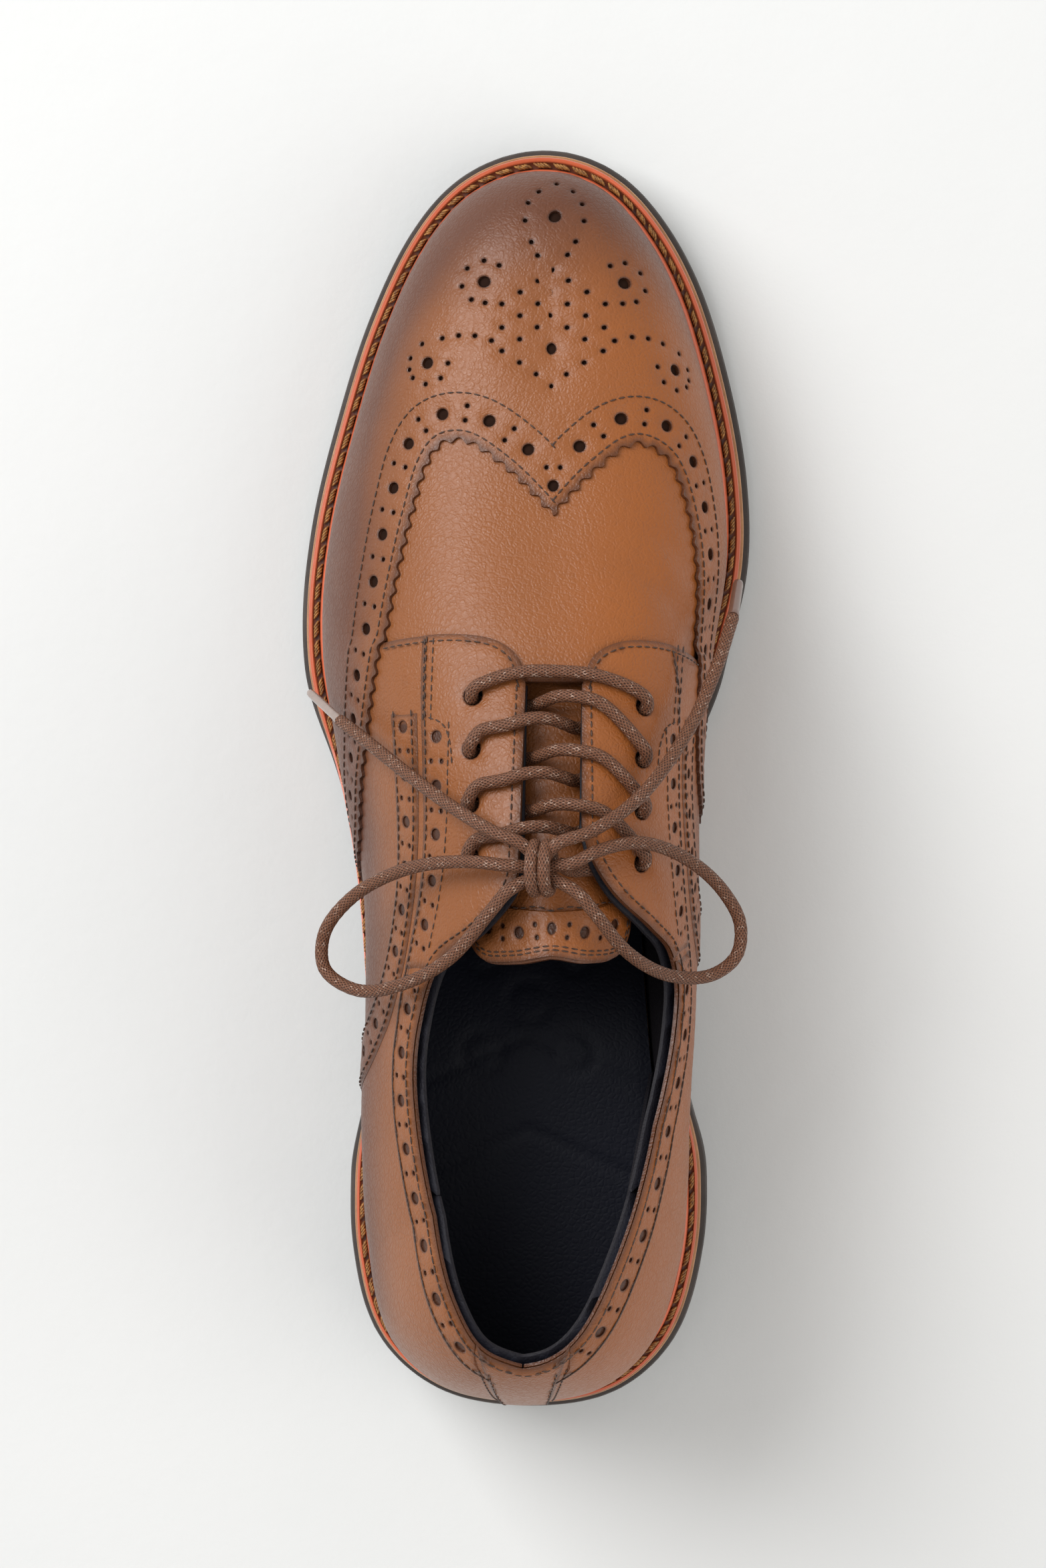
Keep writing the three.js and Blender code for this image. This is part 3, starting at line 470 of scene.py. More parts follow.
def calf_leather():
    """Smooth tan calf with fine grain, burnished towards the edges and darker brown at cut edges, with
    brighter amber on the inner side as painted light and dark brown on hole rims and under covering pieces as
    painted shade.
    """
    n = Nodes("calf_leather")
    burnish = n.attribute("burnish")
    edge = n.attribute("edge")
    medial_painted_light = n.attribute("medial_painted_light")
    cloud = n.noise(42.0, 4.0, 0.6)
    mottle = n.noise(260.0, 3.0, 0.55)
    # Painted light: the inner side turns brighter, more saturated amber.
    body = n.mix(medial_painted_light, TAN, AMBER_PAINTED_LIGHT)
    body = n.mix((cloud - 0.5) * 0.5 + 0.25, body, (0.235, 0.074, 0.018))
    shade = (burnish + (cloud - 0.5) * 0.3).step(0.0, 1.15)
    body = n.mix(shade * 0.92, body, BURNISH)
    body = n.mix((mottle.step(0.55, 0.75)) * 0.14, body, (0.20, 0.065, 0.02))
    # Darker brown near cut edges and on inner faces, and painted shade on hole rims and under covering
    # pieces, so that punched holes look dark.
    body = n.mix(edge * 0.9, body, EDGE_AND_HOLE_SHADE_BROWN)
    pores = n.cells(1050.0)
    fold = n.cells(480.0)
    grain = pores.step(0.0, 0.32) * 0.5 + fold.step(0.0, 0.16) * 0.5
    height = grain * (mottle * 0.6 + 0.55)
    roughness = (cloud - 0.5) * 0.16 + (1 - grain) * 0.16 + 0.33 + burnish * 0.03
    return n.finish(body, roughness, n.bump(height, 0.55, 0.00022), Specular_IOR_Level=0.38,
                    Coat_Weight=0.1, Coat_Roughness=0.24)


def edge_leather(name, colour, dark):
    """Waxed leather edge or strip with its fibre layers."""
    n = Nodes(name)
    cloud = n.noise(120.0, 5.0, 0.65)
    fibre = n.noise(900.0, 3.0, 0.6)
    colour_mix = n.mix(cloud.step(0.3, 0.75), colour, dark)
    colour_mix = n.mix(fibre.step(0.5, 0.8) * 0.3, colour_mix, tuple(0.5 * c for c in dark))
    return n.finish(colour_mix, cloud * 0.25 + 0.3, n.bump(fibre, 0.35, 0.0002), Coat_Weight=0.12)


def hole_shade_backing():
    """Matt dark layer of painted shade that shows at the bottom of the punched holes."""
    n = Nodes("hole_shade_backing")
    cloud = n.noise(300.0, 3.0, 0.6)
    body = n.mix(cloud, (0.014, 0.006, 0.004), (0.032, 0.013, 0.007))
    return n.finish(body, 0.85, n.bump(cloud, 0.2, 0.0002), Specular_IOR_Level=0.1)


def thread(name, colour, dark, scale):
    """Twisted waxed thread."""
    n = Nodes(name)
    strands = n.noise(scale, 4.0, 0.7)
    body = n.mix(strands.step(0.35, 0.65), dark, colour)
    return n.finish(body, 0.55, n.bump(strands, 0.5, 0.0002))


def lining_leather():
    """Matt navy lining."""
    n = Nodes("navy_lining")
    cloud = n.noise(70.0, 4.0, 0.6)
    pores = n.cells(900.0)
    body = n.mix(cloud, (0.007, 0.009, 0.019), (0.012, 0.016, 0.032))
    # Grey-brown near cut edges and over the whole face towards the foot, with painted shade on the eyelet
    # rims.
    edge = n.attribute("edge")
    body = n.mix(edge * 0.85, body, (0.016, 0.013, 0.014))
    return n.finish(body, cloud * 0.15 + 0.55, n.bump(pores.step(0.0, 0.3), 0.35, 0.00015),
                    Specular_IOR_Level=0.25)


def sock_leather():
    """Near-black sock with a soft sheen."""
    n = Nodes("sock_leather")
    cloud = n.noise(60.0, 4.0, 0.6)
    weave = n.cells(700.0)
    body = n.mix(cloud, (0.005, 0.006, 0.011), (0.009, 0.010, 0.019))
    return n.finish(body, cloud * 0.12 + 0.5, n.bump(weave.step(0.0, 0.3), 0.3, 0.00015),
                    Specular_IOR_Level=0.18)


def lace_braid():
    """Waxed brown braid, darker between its strands as painted shade, with pale painted highlights on the
    strands' crowns.
    """
    n = Nodes("lace_braid")
    run = n.attribute("braid", out=1)
    parts = n.tree.nodes.new("ShaderNodeSeparateXYZ")
    n.tree.links.new(run.socket, parts.inputs[0])
    cosine, sine, along = (Value(n, parts.outputs[i]) for i in range(3))
    angle = sine.math("ARCTAN2", cosine)
    right = (along * 2400.0 + angle * 6.0).sine().size()
    left = (along * 2400.0 - angle * 6.0).sine().size()
    strands = right.most(left)
    fine = n.noise(1500.0, 4.0, 0.7)
    glint_cloud = n.noise(800.0, 3.0, 0.6)
    # Painted shade: dark brown between the strands, lighter brown on their crowns.
    body = n.mix(strands.step(0.55, 1.0), (0.050, 0.019, 0.010), (0.175, 0.069, 0.034))
    body = n.mix(fine.step(0.45, 0.75) * 0.45, body, (0.30, 0.155, 0.095))
    # Painted highlights: pale glints in patches on the strands' crowns.
    painted_glints = glint_cloud.step(0.56, 0.66) * strands.step(0.93, 1.0)
    body = n.mix(painted_glints * 0.75, body, (0.62, 0.47, 0.38))
    height = strands + fine * 0.5
    return n.finish(body, 0.52 - painted_glints * 0.2, n.bump(height, 0.8, 0.0003),
                    Specular_IOR_Level=0.35)


def film(name, colour, roughness):
    """Shrunk plastic film of an aglet."""
    n = Nodes(name)
    ripple = n.noise(600.0, 2.0, 0.5)
    body = n.mix(ripple, tuple(0.7 * c for c in colour), colour)
    return n.finish(body, roughness, n.bump(ripple, 0.2, 0.0001), Coat_Weight=0.8, Coat_Roughness=0.08)


def welt_leather():
    """Orange-red waxed welt, browner in its groove as painted shade and bright orange on its raised bead and
    lip as painted highlight.
    """
    n = Nodes("welt_leather")
    cloud = n.noise(95.0, 5.0, 0.65)
    fibre = n.noise(700.0, 3.0, 0.6)
    groove = n.attribute("groove")
    bead = n.attribute("bead")
    body = n.mix(cloud.step(0.3, 0.75), (0.36, 0.085, 0.028), (0.22, 0.05, 0.02))
    # Painted highlight: bright orange on the raised bead and lip.
    body = n.mix(bead, body, (0.72, 0.145, 0.06))
    # Painted shade: dark brown in the groove.
    body = n.mix(groove * 0.75, body, (0.075, 0.022, 0.012))
    return n.finish(body, cloud * 0.2 + 0.28, n.bump(fibre, 0.25, 0.0002), Coat_Weight=0.2)


def rubber(name, colour):
    """Moulded rubber with a fine dusty texture."""
    n = Nodes(name)
    speckle = n.noise(1400.0, 4.0, 0.7)
    scuff = n.noise(45.0, 5.0, 0.65)
    body = n.mix(scuff.step(0.35, 0.8), colour, tuple(1.8 * c for c in colour))
    return n.finish(body, speckle * 0.2 + 0.55, n.bump(speckle, 0.3, 0.0002))


def stacked_leather():
    """Dark stacked heel leather with fine layers."""
    n = Nodes("heel_stack")
    place = n.place()
    stretched = n.add("ShaderNodeMapping", Vector=place, Scale=(30.0, 30.0, 900.0))
    layers = n.noise(1.0, 3.0, 0.6, vector=stretched)
    cloud = n.noise(80.0, 4.0, 0.6)
    body = n.mix(layers.step(0.35, 0.7), (0.035, 0.022, 0.016), (0.11, 0.065, 0.042))
    return n.finish(body, cloud * 0.2 + 0.32, n.bump(layers, 0.3, 0.0002), Coat_Weight=0.15)


def board(name, colour, scale):
    """Pressed fibre, cork or foam, by the size of its grains."""
    n = Nodes(name)
    grains = n.cells(scale, feature="F1")
    cloud = n.noise(scale * 0.2, 4.0, 0.6)
    body = n.mix(grains.step(0.1, 0.7), colour, tuple(0.55 * c for c in colour))
    return n.finish(body, cloud * 0.2 + 0.7, n.bump(grains, 0.4, 0.0003))


def metal(name, colour, roughness):
    n = Nodes(name)
    brushed = n.noise(900.0, 3.0, 0.6)
    body = n.mix(brushed, tuple(0.8 * c for c in colour), colour)
    return n.finish(body, brushed * 0.15 + roughness, n.bump(brushed, 0.1, 0.0001), Metallic=1.0)


def plaster_floor():
    n = Nodes("pale_floor")
    cloud = n.noise(6.0, 5.0, 0.6)
    pits = n.noise(90.0, 6.0, 0.7)
    body = n.mix(cloud, (0.74, 0.75, 0.74), (0.80, 0.80, 0.79))
    return n.finish(body, 0.75, n.bump(pits, 0.18, 0.001))


CALF = calf_leather()
NAVY = lining_leather()
SOCK_LEATHER = sock_leather()
THREAD = thread("seam_thread", (0.085, 0.042, 0.026), (0.03, 0.014, 0.009), 1600.0)
WELT_THREAD = thread("welt_thread", (0.46, 0.215, 0.055), (0.14, 0.05, 0.014), 1300.0)
BRAID = lace_braid()
CLEAR_FILM = film("clear_film", (0.36, 0.27, 0.23), 0.12)
BROWN_FILM = film("brown_film", (0.17, 0.085, 0.06), 0.3)
WELT_LEATHER = welt_leather()
MIDSOLE_LEATHER = edge_leather("midsole_leather", (0.52, 0.26, 0.11), (0.37, 0.165, 0.062))
HOLE_SHADE_BACKING = hole_shade_backing()
SOLE_RUBBER = rubber("sole_rubber", (0.045, 0.036, 0.032))
TOP_RUBBER = rubber("top_piece_rubber", (0.02, 0.018, 0.017))
HEEL_STACK = stacked_leather()
FIBRE_BOARD = board("fibre_board", (0.55, 0.43, 0.27), 700.0)
CORK = board("cork", (0.42, 0.25, 0.12), 420.0)
FOAM = board("foam", (0.62, 0.58, 0.5), 1100.0)
INSOLE_LEATHER = board("insole_leather", (0.55, 0.38, 0.22), 900.0)
BRASS = metal("dull_brass", (0.62, 0.44, 0.2), 0.35)
SPRING_STEEL = metal("spring_steel", (0.55, 0.56, 0.58), 0.3)


# ---------------------------------------------------------------- meshes

def make_mesh(name, points_mm, faces, material, attributes=None, sharp=40.0):
    mesh = bpy.data.meshes.new(name)
    mesh.from_pydata((np.asarray(points_mm) * MM).tolist(), [], [list(map(int, face)) for face in faces])
    for key, values in (attributes or {}).items():
        vector = np.ndim(values) == 2
        layer = mesh.attributes.new(key, "FLOAT_VECTOR" if vector else "FLOAT", "POINT")
        layer.data.foreach_set("vector" if vector else "value", np.asarray(values, np.float32).reshape(-1))
    mesh.materials.append(material)
    mesh.validate()
    mesh.shade_smooth()
    mesh.set_sharp_from_angle(angle=math.radians(sharp))
    thing = bpy.data.objects.new(name, mesh)
    bpy.context.scene.collection.objects.link(thing)
    return thing


def finish_piece(thing, body, slot, *nodes):
    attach(thing, body)
    if nodes:
        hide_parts(*nodes)
    return thing


def row_faces(rows, count, closed=False):
    """Four-sided faces between rows of points, each row a loop; closed joins the last row to the first."""
    faces = []
    for row in range(rows if closed else rows - 1):
        after = (row + 1) % rows
        for i in range(count):
            j = (i + 1) % count
            faces.append([row * count + i, row * count + j, after * count + j, after * count + i])
    return faces


def nearest_distance(points, others):
    tree = KDTree(len(others))
    for i, (x, y) in enumerate(others):
        tree.insert((x, y, 0), i)
    tree.balance()
    return np.array([tree.find((x, y, 0))[2] for x, y in points])


def ring(centre, radius, corners=12):
    angle = np.arange(corners) * 2 * math.pi / corners
    return np.column_stack([centre[0] + radius * np.cos(angle), centre[1] + radius * np.sin(angle)])


def closed_samples(loop, step=1.2):
    closed = np.vstack([loop, loop[:1]])
    return resample(closed, step)[:-1]


def staggered_grid(low, high, spacing):
    """Points of even triangles between two corners."""
    rows = []
    for i, y in enumerate(np.arange(low[1], high[1], spacing * 0.866)):
        x = np.arange(low[0] + (i % 2) * spacing / 2, high[0], spacing)
        rows.append(np.column_stack([x, np.full(len(x), y)]))
    return np.concatenate(rows)


class Cut:
    """A flat piece, cut to its outline and to the feather line, with punched holes."""

    def __init__(self, outline, holes=(), limit=None, creases=(), spacing=2.4):
        limit = feather_flat if limit is None else limit
        loops = [np.asarray(outline, float), limit] + [ring(c, r, 14 if r > 1 else 9) for c, r in holes]
        collars = [ring(c, r + 0.45, 14 if r > 1 else 9) for c, r in holes]
        low = np.maximum(loops[0].min(axis=0), limit.min(axis=0)) - 1
        high = np.minimum(loops[0].max(axis=0), limit.max(axis=0)) + 1
        grid = staggered_grid(low, high, spacing)
        edge_samples = np.vstack([closed_samples(loops[0], 0.8)] + collars + [closed_samples(limit, 2.0)])
        grid = grid[inside(grid, loops[0]) & inside(grid, limit)]
        extra = np.vstack(collars) if collars else np.zeros((0, 2))
        for crease in creases:
            extra = np.vstack([extra, crease])
        if len(grid):
            blockers = np.vstack([edge_samples, extra])
            grid = grid[nearest_distance(grid, blockers) > 0.45 * spacing]
        loose = np.vstack([extra, grid])
        for centre, radius in holes:
            loose = loose[np.linalg.norm(loose - centre, axis=1) > radius + 0.2]
        points, edges = [], []
        for loop in loops:
            start = len(points)
            points.extend(map(tuple, loop))
            count = len(loop)
            edges.extend((start + i, start + (i + 1) % count) for i in range(count))
        points.extend(map(tuple, loose))
        result = delaunay_2d_cdt([Vector(p) for p in points], edges, [], 0, 1e-4, False)
        xy = np.array([(v.x, v.y) for v in result[0]])
        faces = np.array(result[2])
        middle = xy[faces].mean(axis=1)
        keep = inside(middle, loops[0]) & inside(middle, limit)
        for loop in loops[2:]:
            keep &= ~inside(middle, loop)
        a, b, c = (xy[faces[:, i]] for i in range(3))
        area = np.cross(b - a, c - a)
        keep &= np.abs(area) > 1e-5
        faces = faces[keep]
        turned = area[keep] < 0
        faces[turned] = faces[turned][:, ::-1]
        used, faces = np.unique(faces, return_inverse=True)
        self.xy = xy[used]
        self.faces = faces.reshape(-1, 3)
        sides = np.concatenate([self.faces[:, [0, 1]], self.faces[:, [1, 2]], self.faces[:, [2, 0]]])
        keys = {tuple(side) for side in sides.tolist()}
        self.rim = [side for side in keys if (side[1], side[0]) not in keys]
        self.to_edge = nearest_distance(self.xy, closed_samples(loops[0], 0.4))
        self.to_hole = np.full(len(self.xy), 99.0)
        for centre, radius in holes:
            gap = np.abs(np.linalg.norm(self.xy - centre, axis=1) - radius)
            self.to_hole = np.minimum(self.to_hole, gap)


def solid_faces(cut):
    """Outer face, inner face and rim of a cut piece, with the inner points after the outer ones."""
    count = len(cut.xy)
    faces = cut.faces.tolist()
    faces += [[a + count, c + count, b + count] for a, b, c in cut.faces.tolist()]
    faces += [[b, a, a + count, b + count] for a, b in cut.rim]
    return faces


def burnish_at(xy):
    """How dark the polish is: full at the toe, strong low on the outer side, faint at the heel."""
    share = last.height_share(xy)
    x, y = xy[:, 0], xy[:, 1]
    toe = smoothstep(np.hypot((x - 10) / 1.1, np.maximum(y - 70, 0)), 30, 70)
    fore = smoothstep(y, -60, 40)
    outer = (0.4 + 0.5 * fore) * smoothstep(share, 0.45, 1.0) * smoothstep(-x, -30, 50)
    inner = (0.4 + 0.25 * fore) * smoothstep(share, 0.72, 1.0)
    front = 0.4 * smoothstep(-x, 8, 50) * smoothstep(y, 0, 60)
    heel = 0.35 * smoothstep(-y, 150, 200)
    return np.clip(toe + np.maximum(outer, inner) + front + heel, 0, 1)


def wrapped_piece(name, outline, inner, outer, body, slot, nodes, holes=(), creases=(), material=None,
                  roll=0.3, spacing=2.4, limit=None, groove=(), hole_shade_under=()):
    """A leather piece wrapped on the last between two offsets (numbers or functions of the flat points)."""
    cut = Cut(outline, holes, limit, creases, spacing)
    count = len(cut.xy)
    low = inner(cut.xy) if callable(inner) else np.full(count, float(inner))
    high = outer(cut.xy) if callable(outer) else np.full(count, float(outer))
    thickness = high - low
    high = high - roll * thickness * (1 - smoothstep(cut.to_edge, 0.0, 1.1))
    high = high - 0.25 * (1 - smoothstep(cut.to_hole, 0.0, 0.5))
    if len(groove):
        high = high - 0.14 * (1 - smoothstep(nearest_distance(cut.xy, np.vstack(groove)), 0.1, 0.9))
    points = np.vstack([last.wrap(cut.xy, high), last.wrap(cut.xy, low)])
    # Darker brown near cut edges and over the whole inner face; painted shade on hole rims and, in the loop
    # below, under covering pieces, so that their punched holes look dark.
    edge = np.maximum(0.8 * (1 - smoothstep(cut.to_edge, 0.1, 1.6)), 1 - smoothstep(cut.to_hole, 0.0, 0.5))
    for cover in hole_shade_under:
        depth = nearest_distance(cut.xy, closed_samples(cover, 1.0)) * inside(cut.xy, cover)
        edge = np.maximum(edge, smoothstep(depth, 1.4, 2.6))
    # Painted light: share of the brighter amber, rising towards the inner side.
    medial_painted_light = smoothstep(cut.xy[:, 0], 0, 40)
    attributes = {
        "burnish": np.tile(burnish_at(cut.xy), 2),
        "edge": np.concatenate([edge, np.ones(count)]),
        "medial_painted_light": np.tile(medial_painted_light, 2),
    }
    thing = make_mesh(name, points, solid_faces(cut), material or CALF, attributes)
    return finish_piece(thing, body, slot, *nodes)


# ---------------------------------------------------------------- geometry node trees

class Tree:
    """A geometry node tree with named inputs."""

    def __init__(self, name, **inputs):
        self.tree = bpy.data.node_groups.new(name, "GeometryNodeTree")
        self.tree.interface.new_socket("Geometry", in_out="INPUT", socket_type="NodeSocketGeometry")
        self.sockets = {}
        for label, kind in inputs.items():
            item = self.tree.interface.new_socket(label, in_out="INPUT", socket_type=kind)
            self.sockets[label] = item.identifier
        self.tree.interface.new_socket("Geometry", in_out="OUTPUT", socket_type="NodeSocketGeometry")
        self.start = self.tree.nodes.new("NodeGroupInput")
        self.end = self.tree.nodes.new("NodeGroupOutput")

    def given(self, label):
        return self.start.outputs[label]

    def add(self, kind, settings=None, out=0, **sockets):
        node = self.tree.nodes.new(kind)
        for key, value in (settings or {}).items():
            setattr(node, key, value)
        for key, value in sockets.items():
            socket = node.inputs[int(key[1:]) if key[0] == "_" else key.replace("_", " ")]
            if isinstance(value, bpy.types.NodeSocket):
                self.tree.links.new(value, socket)
            else:
                socket.default_value = value
        return node.outputs[out]

    def close(self, geometry, material):
        real = self.add("GeometryNodeRealizeInstances", _0=geometry)
        done = self.add("GeometryNodeSetMaterial", Geometry=real, Material=material)
        self.tree.links.new(done, self.end.inputs[0])

    def apply(self, thing, **values):
        """Run the tree on an object and put the result in its mesh."""
        modifier = thing.modifiers.new(self.tree.name, "NODES")
        modifier.node_group = self.tree
        for label, value in values.items():
            modifier[self.sockets[label]] = value
        bpy.context.view_layer.update()
        evaluated = thing.evaluated_get(bpy.context.evaluated_depsgraph_get())
        mesh = bpy.data.meshes.new_from_object(evaluated)
        thing.modifiers.clear()
        old = thing.data
        thing.data = mesh
        bpy.data.meshes.remove(old)
        mesh.name = thing.name
        mesh.shade_smooth()
        return thing


def path_object(name, lines_mm, ups):
    """A mesh of edges along lines, each point knowing which way is up."""
    points, edges, upward = [], [], []
    for line, up in zip(lines_mm, ups):
        start = len(points)
        points.extend((np.asarray(line) * MM).tolist())
        upward.extend(np.asarray(up).tolist())
        edges.extend((start + i, start + i + 1) for i in range(len(line) - 1))
    mesh = bpy.data.meshes.new(name)
    mesh.from_pydata(points, edges, [])
    layer = mesh.attributes.new("surface_up", "FLOAT_VECTOR", "POINT")
    layer.data.foreach_set("vector", np.asarray(upward, np.float32).reshape(-1))
    thing = bpy.data.objects.new(name, mesh)
    bpy.context.scene.collection.objects.link(thing)
    return thing


def stitch_tree(material, beads=1, twist=0.0):
    """Stitches along a path: each one is a row of beads of thread, pressed into the leather."""
    tree = Tree("stitches", Pitch="NodeSocketFloat", Length="NodeSocketFloat", Width="NodeSocketFloat")
    curve = tree.add("GeometryNodeMeshToCurve", Mesh=tree.given("Geometry"))
    curve = tree.add("GeometryNodeResampleCurve", {"mode": "LENGTH"}, Curve=curve, Length=tree.given("Pitch"))
    bead = tree.add("GeometryNodeMeshUVSphere", Segments=8, Rings=6, Radius=0.5)
    join = tree.tree.nodes.new("GeometryNodeJoinGeometry")
    for i in range(beads):
        place = (i - (beads - 1) / 2) / beads * 0.9
        length = 1.0 if beads == 1 else 1.25 / beads
        moved = tree.add("GeometryNodeTransform", Geometry=bead, Translation=(place, 0.0, 0.0),
                         Rotation=(0.0, 0.0, twist), Scale=(length, 1.0, 1.0))
        tree.tree.links.new(moved, join.inputs[0])
    size = tree.add("ShaderNodeCombineXYZ", X=tree.given("Length"), Y=tree.given("Width"),
                    Z=tree.given("Width"))
    tangent = tree.add("GeometryNodeInputTangent")
    up = tree.add("GeometryNodeInputNamedAttribute", {"data_type": "FLOAT_VECTOR"}, Name="surface_up")
    turn = tree.add("FunctionNodeAlignRotationToVector", {"axis": "X"}, Vector=tangent)
    turn = tree.add("FunctionNodeAlignRotationToVector", {"axis": "Z", "pivot_axis": "X"},
                    Rotation=turn, Vector=up)
    rows = tree.add("GeometryNodeInstanceOnPoints", Points=curve, Instance=join.outputs[0],
                    Rotation=turn, Scale=size)
    tree.close(rows, material)
    return tree


def braid_tree(material):
    """A round braided lace along a path, with its strands raised."""
    tree = Tree("braid", Radius="NodeSocketFloat", Step="NodeSocketFloat", Relief="NodeSocketFloat")
    curve = tree.add("GeometryNodeMeshToCurve", Mesh=tree.given("Geometry"))
    curve = tree.add("GeometryNodeResampleCurve", {"mode": "LENGTH"}, Curve=curve, Length=tree.given("Step"))
    run = tree.add("GeometryNodeSplineParameter", out=1)
    captured = tree.tree.nodes.new("GeometryNodeCaptureAttribute")
    captured.capture_items.new("FLOAT", "run")
    tree.tree.links.new(curve, captured.inputs[0])
    tree.tree.links.new(run, captured.inputs[1])
    circle = tree.add("GeometryNodeCurvePrimitiveCircle", Resolution=24, Radius=tree.given("Radius"))
    around = tree.add("GeometryNodeSplineParameter", out=0)
    round_ = tree.tree.nodes.new("GeometryNodeCaptureAttribute")
    round_.capture_items.new("FLOAT", "turn")
    tree.tree.links.new(circle, round_.inputs[0])
    tree.tree.links.new(around, round_.inputs[1])
    tube = tree.add("GeometryNodeCurveToMesh", Curve=captured.outputs[0], Profile_Curve=round_.outputs[0],
                    Fill_Caps=True)

    def maths(operation, *values):
        sockets = {f"_{i}": value for i, value in enumerate(values)}
        return tree.add("ShaderNodeMath", {"operation": operation}, **sockets)

    angle = maths("MULTIPLY", round_.outputs[1], 2 * math.pi)
    phase = maths("MULTIPLY", captured.outputs[1], 2400.0)
    swing = maths("MULTIPLY", angle, 3.0)
    right = maths("ABSOLUTE", maths("SINE", maths("ADD", maths("MULTIPLY", phase, 0.5), swing)))
    left = maths("ABSOLUTE", maths("SINE", maths("SUBTRACT", maths("MULTIPLY", phase, 0.5), swing)))
    height = maths("MULTIPLY", maths("SUBTRACT", maths("MAXIMUM", right, left), 0.8), tree.given("Relief"))
    normal = tree.add("GeometryNodeInputNormal")
    push = tree.add("ShaderNodeVectorMath", {"operation": "SCALE"}, Vector=normal, Scale=height)
    tube = tree.add("GeometryNodeSetPosition", Geometry=tube, Offset=push)
    woven = tree.add("ShaderNodeCombineXYZ", X=maths("COSINE", angle), Y=maths("SINE", angle),
                     Z=captured.outputs[1])
    tube = tree.add("GeometryNodeStoreNamedAttribute", {"data_type": "FLOAT_VECTOR"}, Geometry=tube,
                    Name="braid", Value=woven)
    tree.close(tube, material)
    return tree


BRAIDED = braid_tree(BRAID)
SEAM = stitch_tree(THREAD)
WELT_SEAM = stitch_tree(WELT_THREAD, beads=4, twist=0.55)


def lace(name, line, step=0.45):
    """A braided lace along a line in millimetres."""
    thing = path_object(name, [line], [np.tile((0.0, 0.0, 1.0), (len(line), 1))])
    return BRAIDED.apply(thing, Radius=0.97 * LACE_RADIUS * MM, Step=step * MM, Relief=0.17 * MM)


# ---------------------------------------------------------------- free cords

LOOP_LATERAL = [
    (0, -18.2, 102), (-10, -17.6, 97), (-24, -20, 86), (-37, -27, 76), (-44, -36, 70.5), (-44, -44, 69.5),
    (-36.5, -48.6, 74), (-25, -46.6, 84), (-13, -39.6, 94), (-3.6, -28.6, 100), (0.4, -24, 101.5),
]
LOOP_MEDIAL = [
    (15.2, -17.6, 102), (20, -15.2, 101), (30, -13.4, 93.5), (41, -18, 82), (49, -26, 73), (52.6, -33.6, 69),
    (51.8, -40.6, 69), (46.6, -44.8, 72.5), (37, -44.6, 82), (27, -38, 96), (20.4, -29.4, 102),
    (16, -24.2, 103),
]
TAIL_LATERAL = [
    (3.4, -13.2, 103), (-3, -10.6, 101.4), (-12.8, -5.4, 92.5), (-24, 1.8, 80.5), (-34, 8.6, 68),
    (-41.2, 13.2, 57.2),
]
TAIL_MEDIAL = [
    (11.6, -13.2, 103.4), (19, -10.6, 101), (30, -3, 91), (40.6, 11.6, 76), (46.8, 25.6, 62),
    (50.4, 37.2, 48.6),
]

# Where each run goes on inside the knot, under its wrap.
LOOP_LATERAL_ENDS = [(6.8, -18.8, 101.0)], [(6.6, -20.6, 100.8)]
LOOP_MEDIAL_ENDS = [(8.6, -18.6, 101.0)], [(9.4, -20.6, 101.2)]
TAIL_LATERAL_START = [(7.2, -17.0, 101.6)]
TAIL_MEDIAL_START = [(8.2, -17.0, 102.2)]
AGLET_LATERAL = [(-41.4, 13.4, 56.9), (-49.6, 19.6, 43.9)]
AGLET_MEDIAL = [(50.5, 37.6, 48.1), (51.6, 45.6, 37.6)]


def aglet(name, ends, radius, material, slot, node):
    """A film tip: a tube that narrows at its end, over the lace's cut."""
    start, end = (np.array(p, float) for p in ends)
    axis = (end - start) / np.linalg.norm(end - start)
    side = np.cross(axis, (0, 0, 1))
    side /= np.linalg.norm(side)
    other = np.cross(axis, side)
    length = np.linalg.norm(end - start)
    profile = [(0.0, 0.0), (0.0, 1.0), (0.05, 1.08), (0.12, 1.0),
               (0.9, 0.96), (0.97, 0.86), (1.0, 0.6), (1.0, 0.0)]
    corners = 24
    points = []
    for share, width in profile:
        for i in range(corners):
            turn = 2 * math.pi * i / corners
            points.append(start + axis * length * share
                          + (side * math.cos(turn) + other * math.sin(turn)) * radius * max(width, 1e-3))
    faces = row_faces(len(profile), corners)
    last_row = (len(profile) - 1) * corners
    faces.append(list(range(corners - 1, -1, -1)))
    faces.append([last_row + i for i in range(corners)])
    thing = make_mesh(name, np.array(points), faces, material)
    return finish_piece(thing, SHOE, slot, node)


def free_lace(name, points, node):
    line = resample(centripetal(points), 1.5)
    thing = lace(name, line)
    finish_piece(thing, SHOE, "lace", node)
    return thing


tip_lateral = aglet("clear_aglet", AGLET_LATERAL, 1.05, CLEAR_FILM, "clear_film", "aglet_lateral")
tip_medial = aglet("brown_aglet", AGLET_MEDIAL, 1.3, BROWN_FILM, "brown_film", "aglet_medial")
start, end = LOOP_LATERAL_ENDS
free_lace("bow_loop_lateral", start + LOOP_LATERAL + end, "loop_lateral")
start, end = LOOP_MEDIAL_ENDS
free_lace("bow_loop_medial", start + LOOP_MEDIAL + end, "loop_medial")
free_lace("bow_tail_lateral", TAIL_LATERAL_START + TAIL_LATERAL, "tail_lateral")
free_lace("bow_tail_medial", TAIL_MEDIAL_START + TAIL_MEDIAL, "tail_medial")

# ---------------------------------------------------------------- pattern outlines

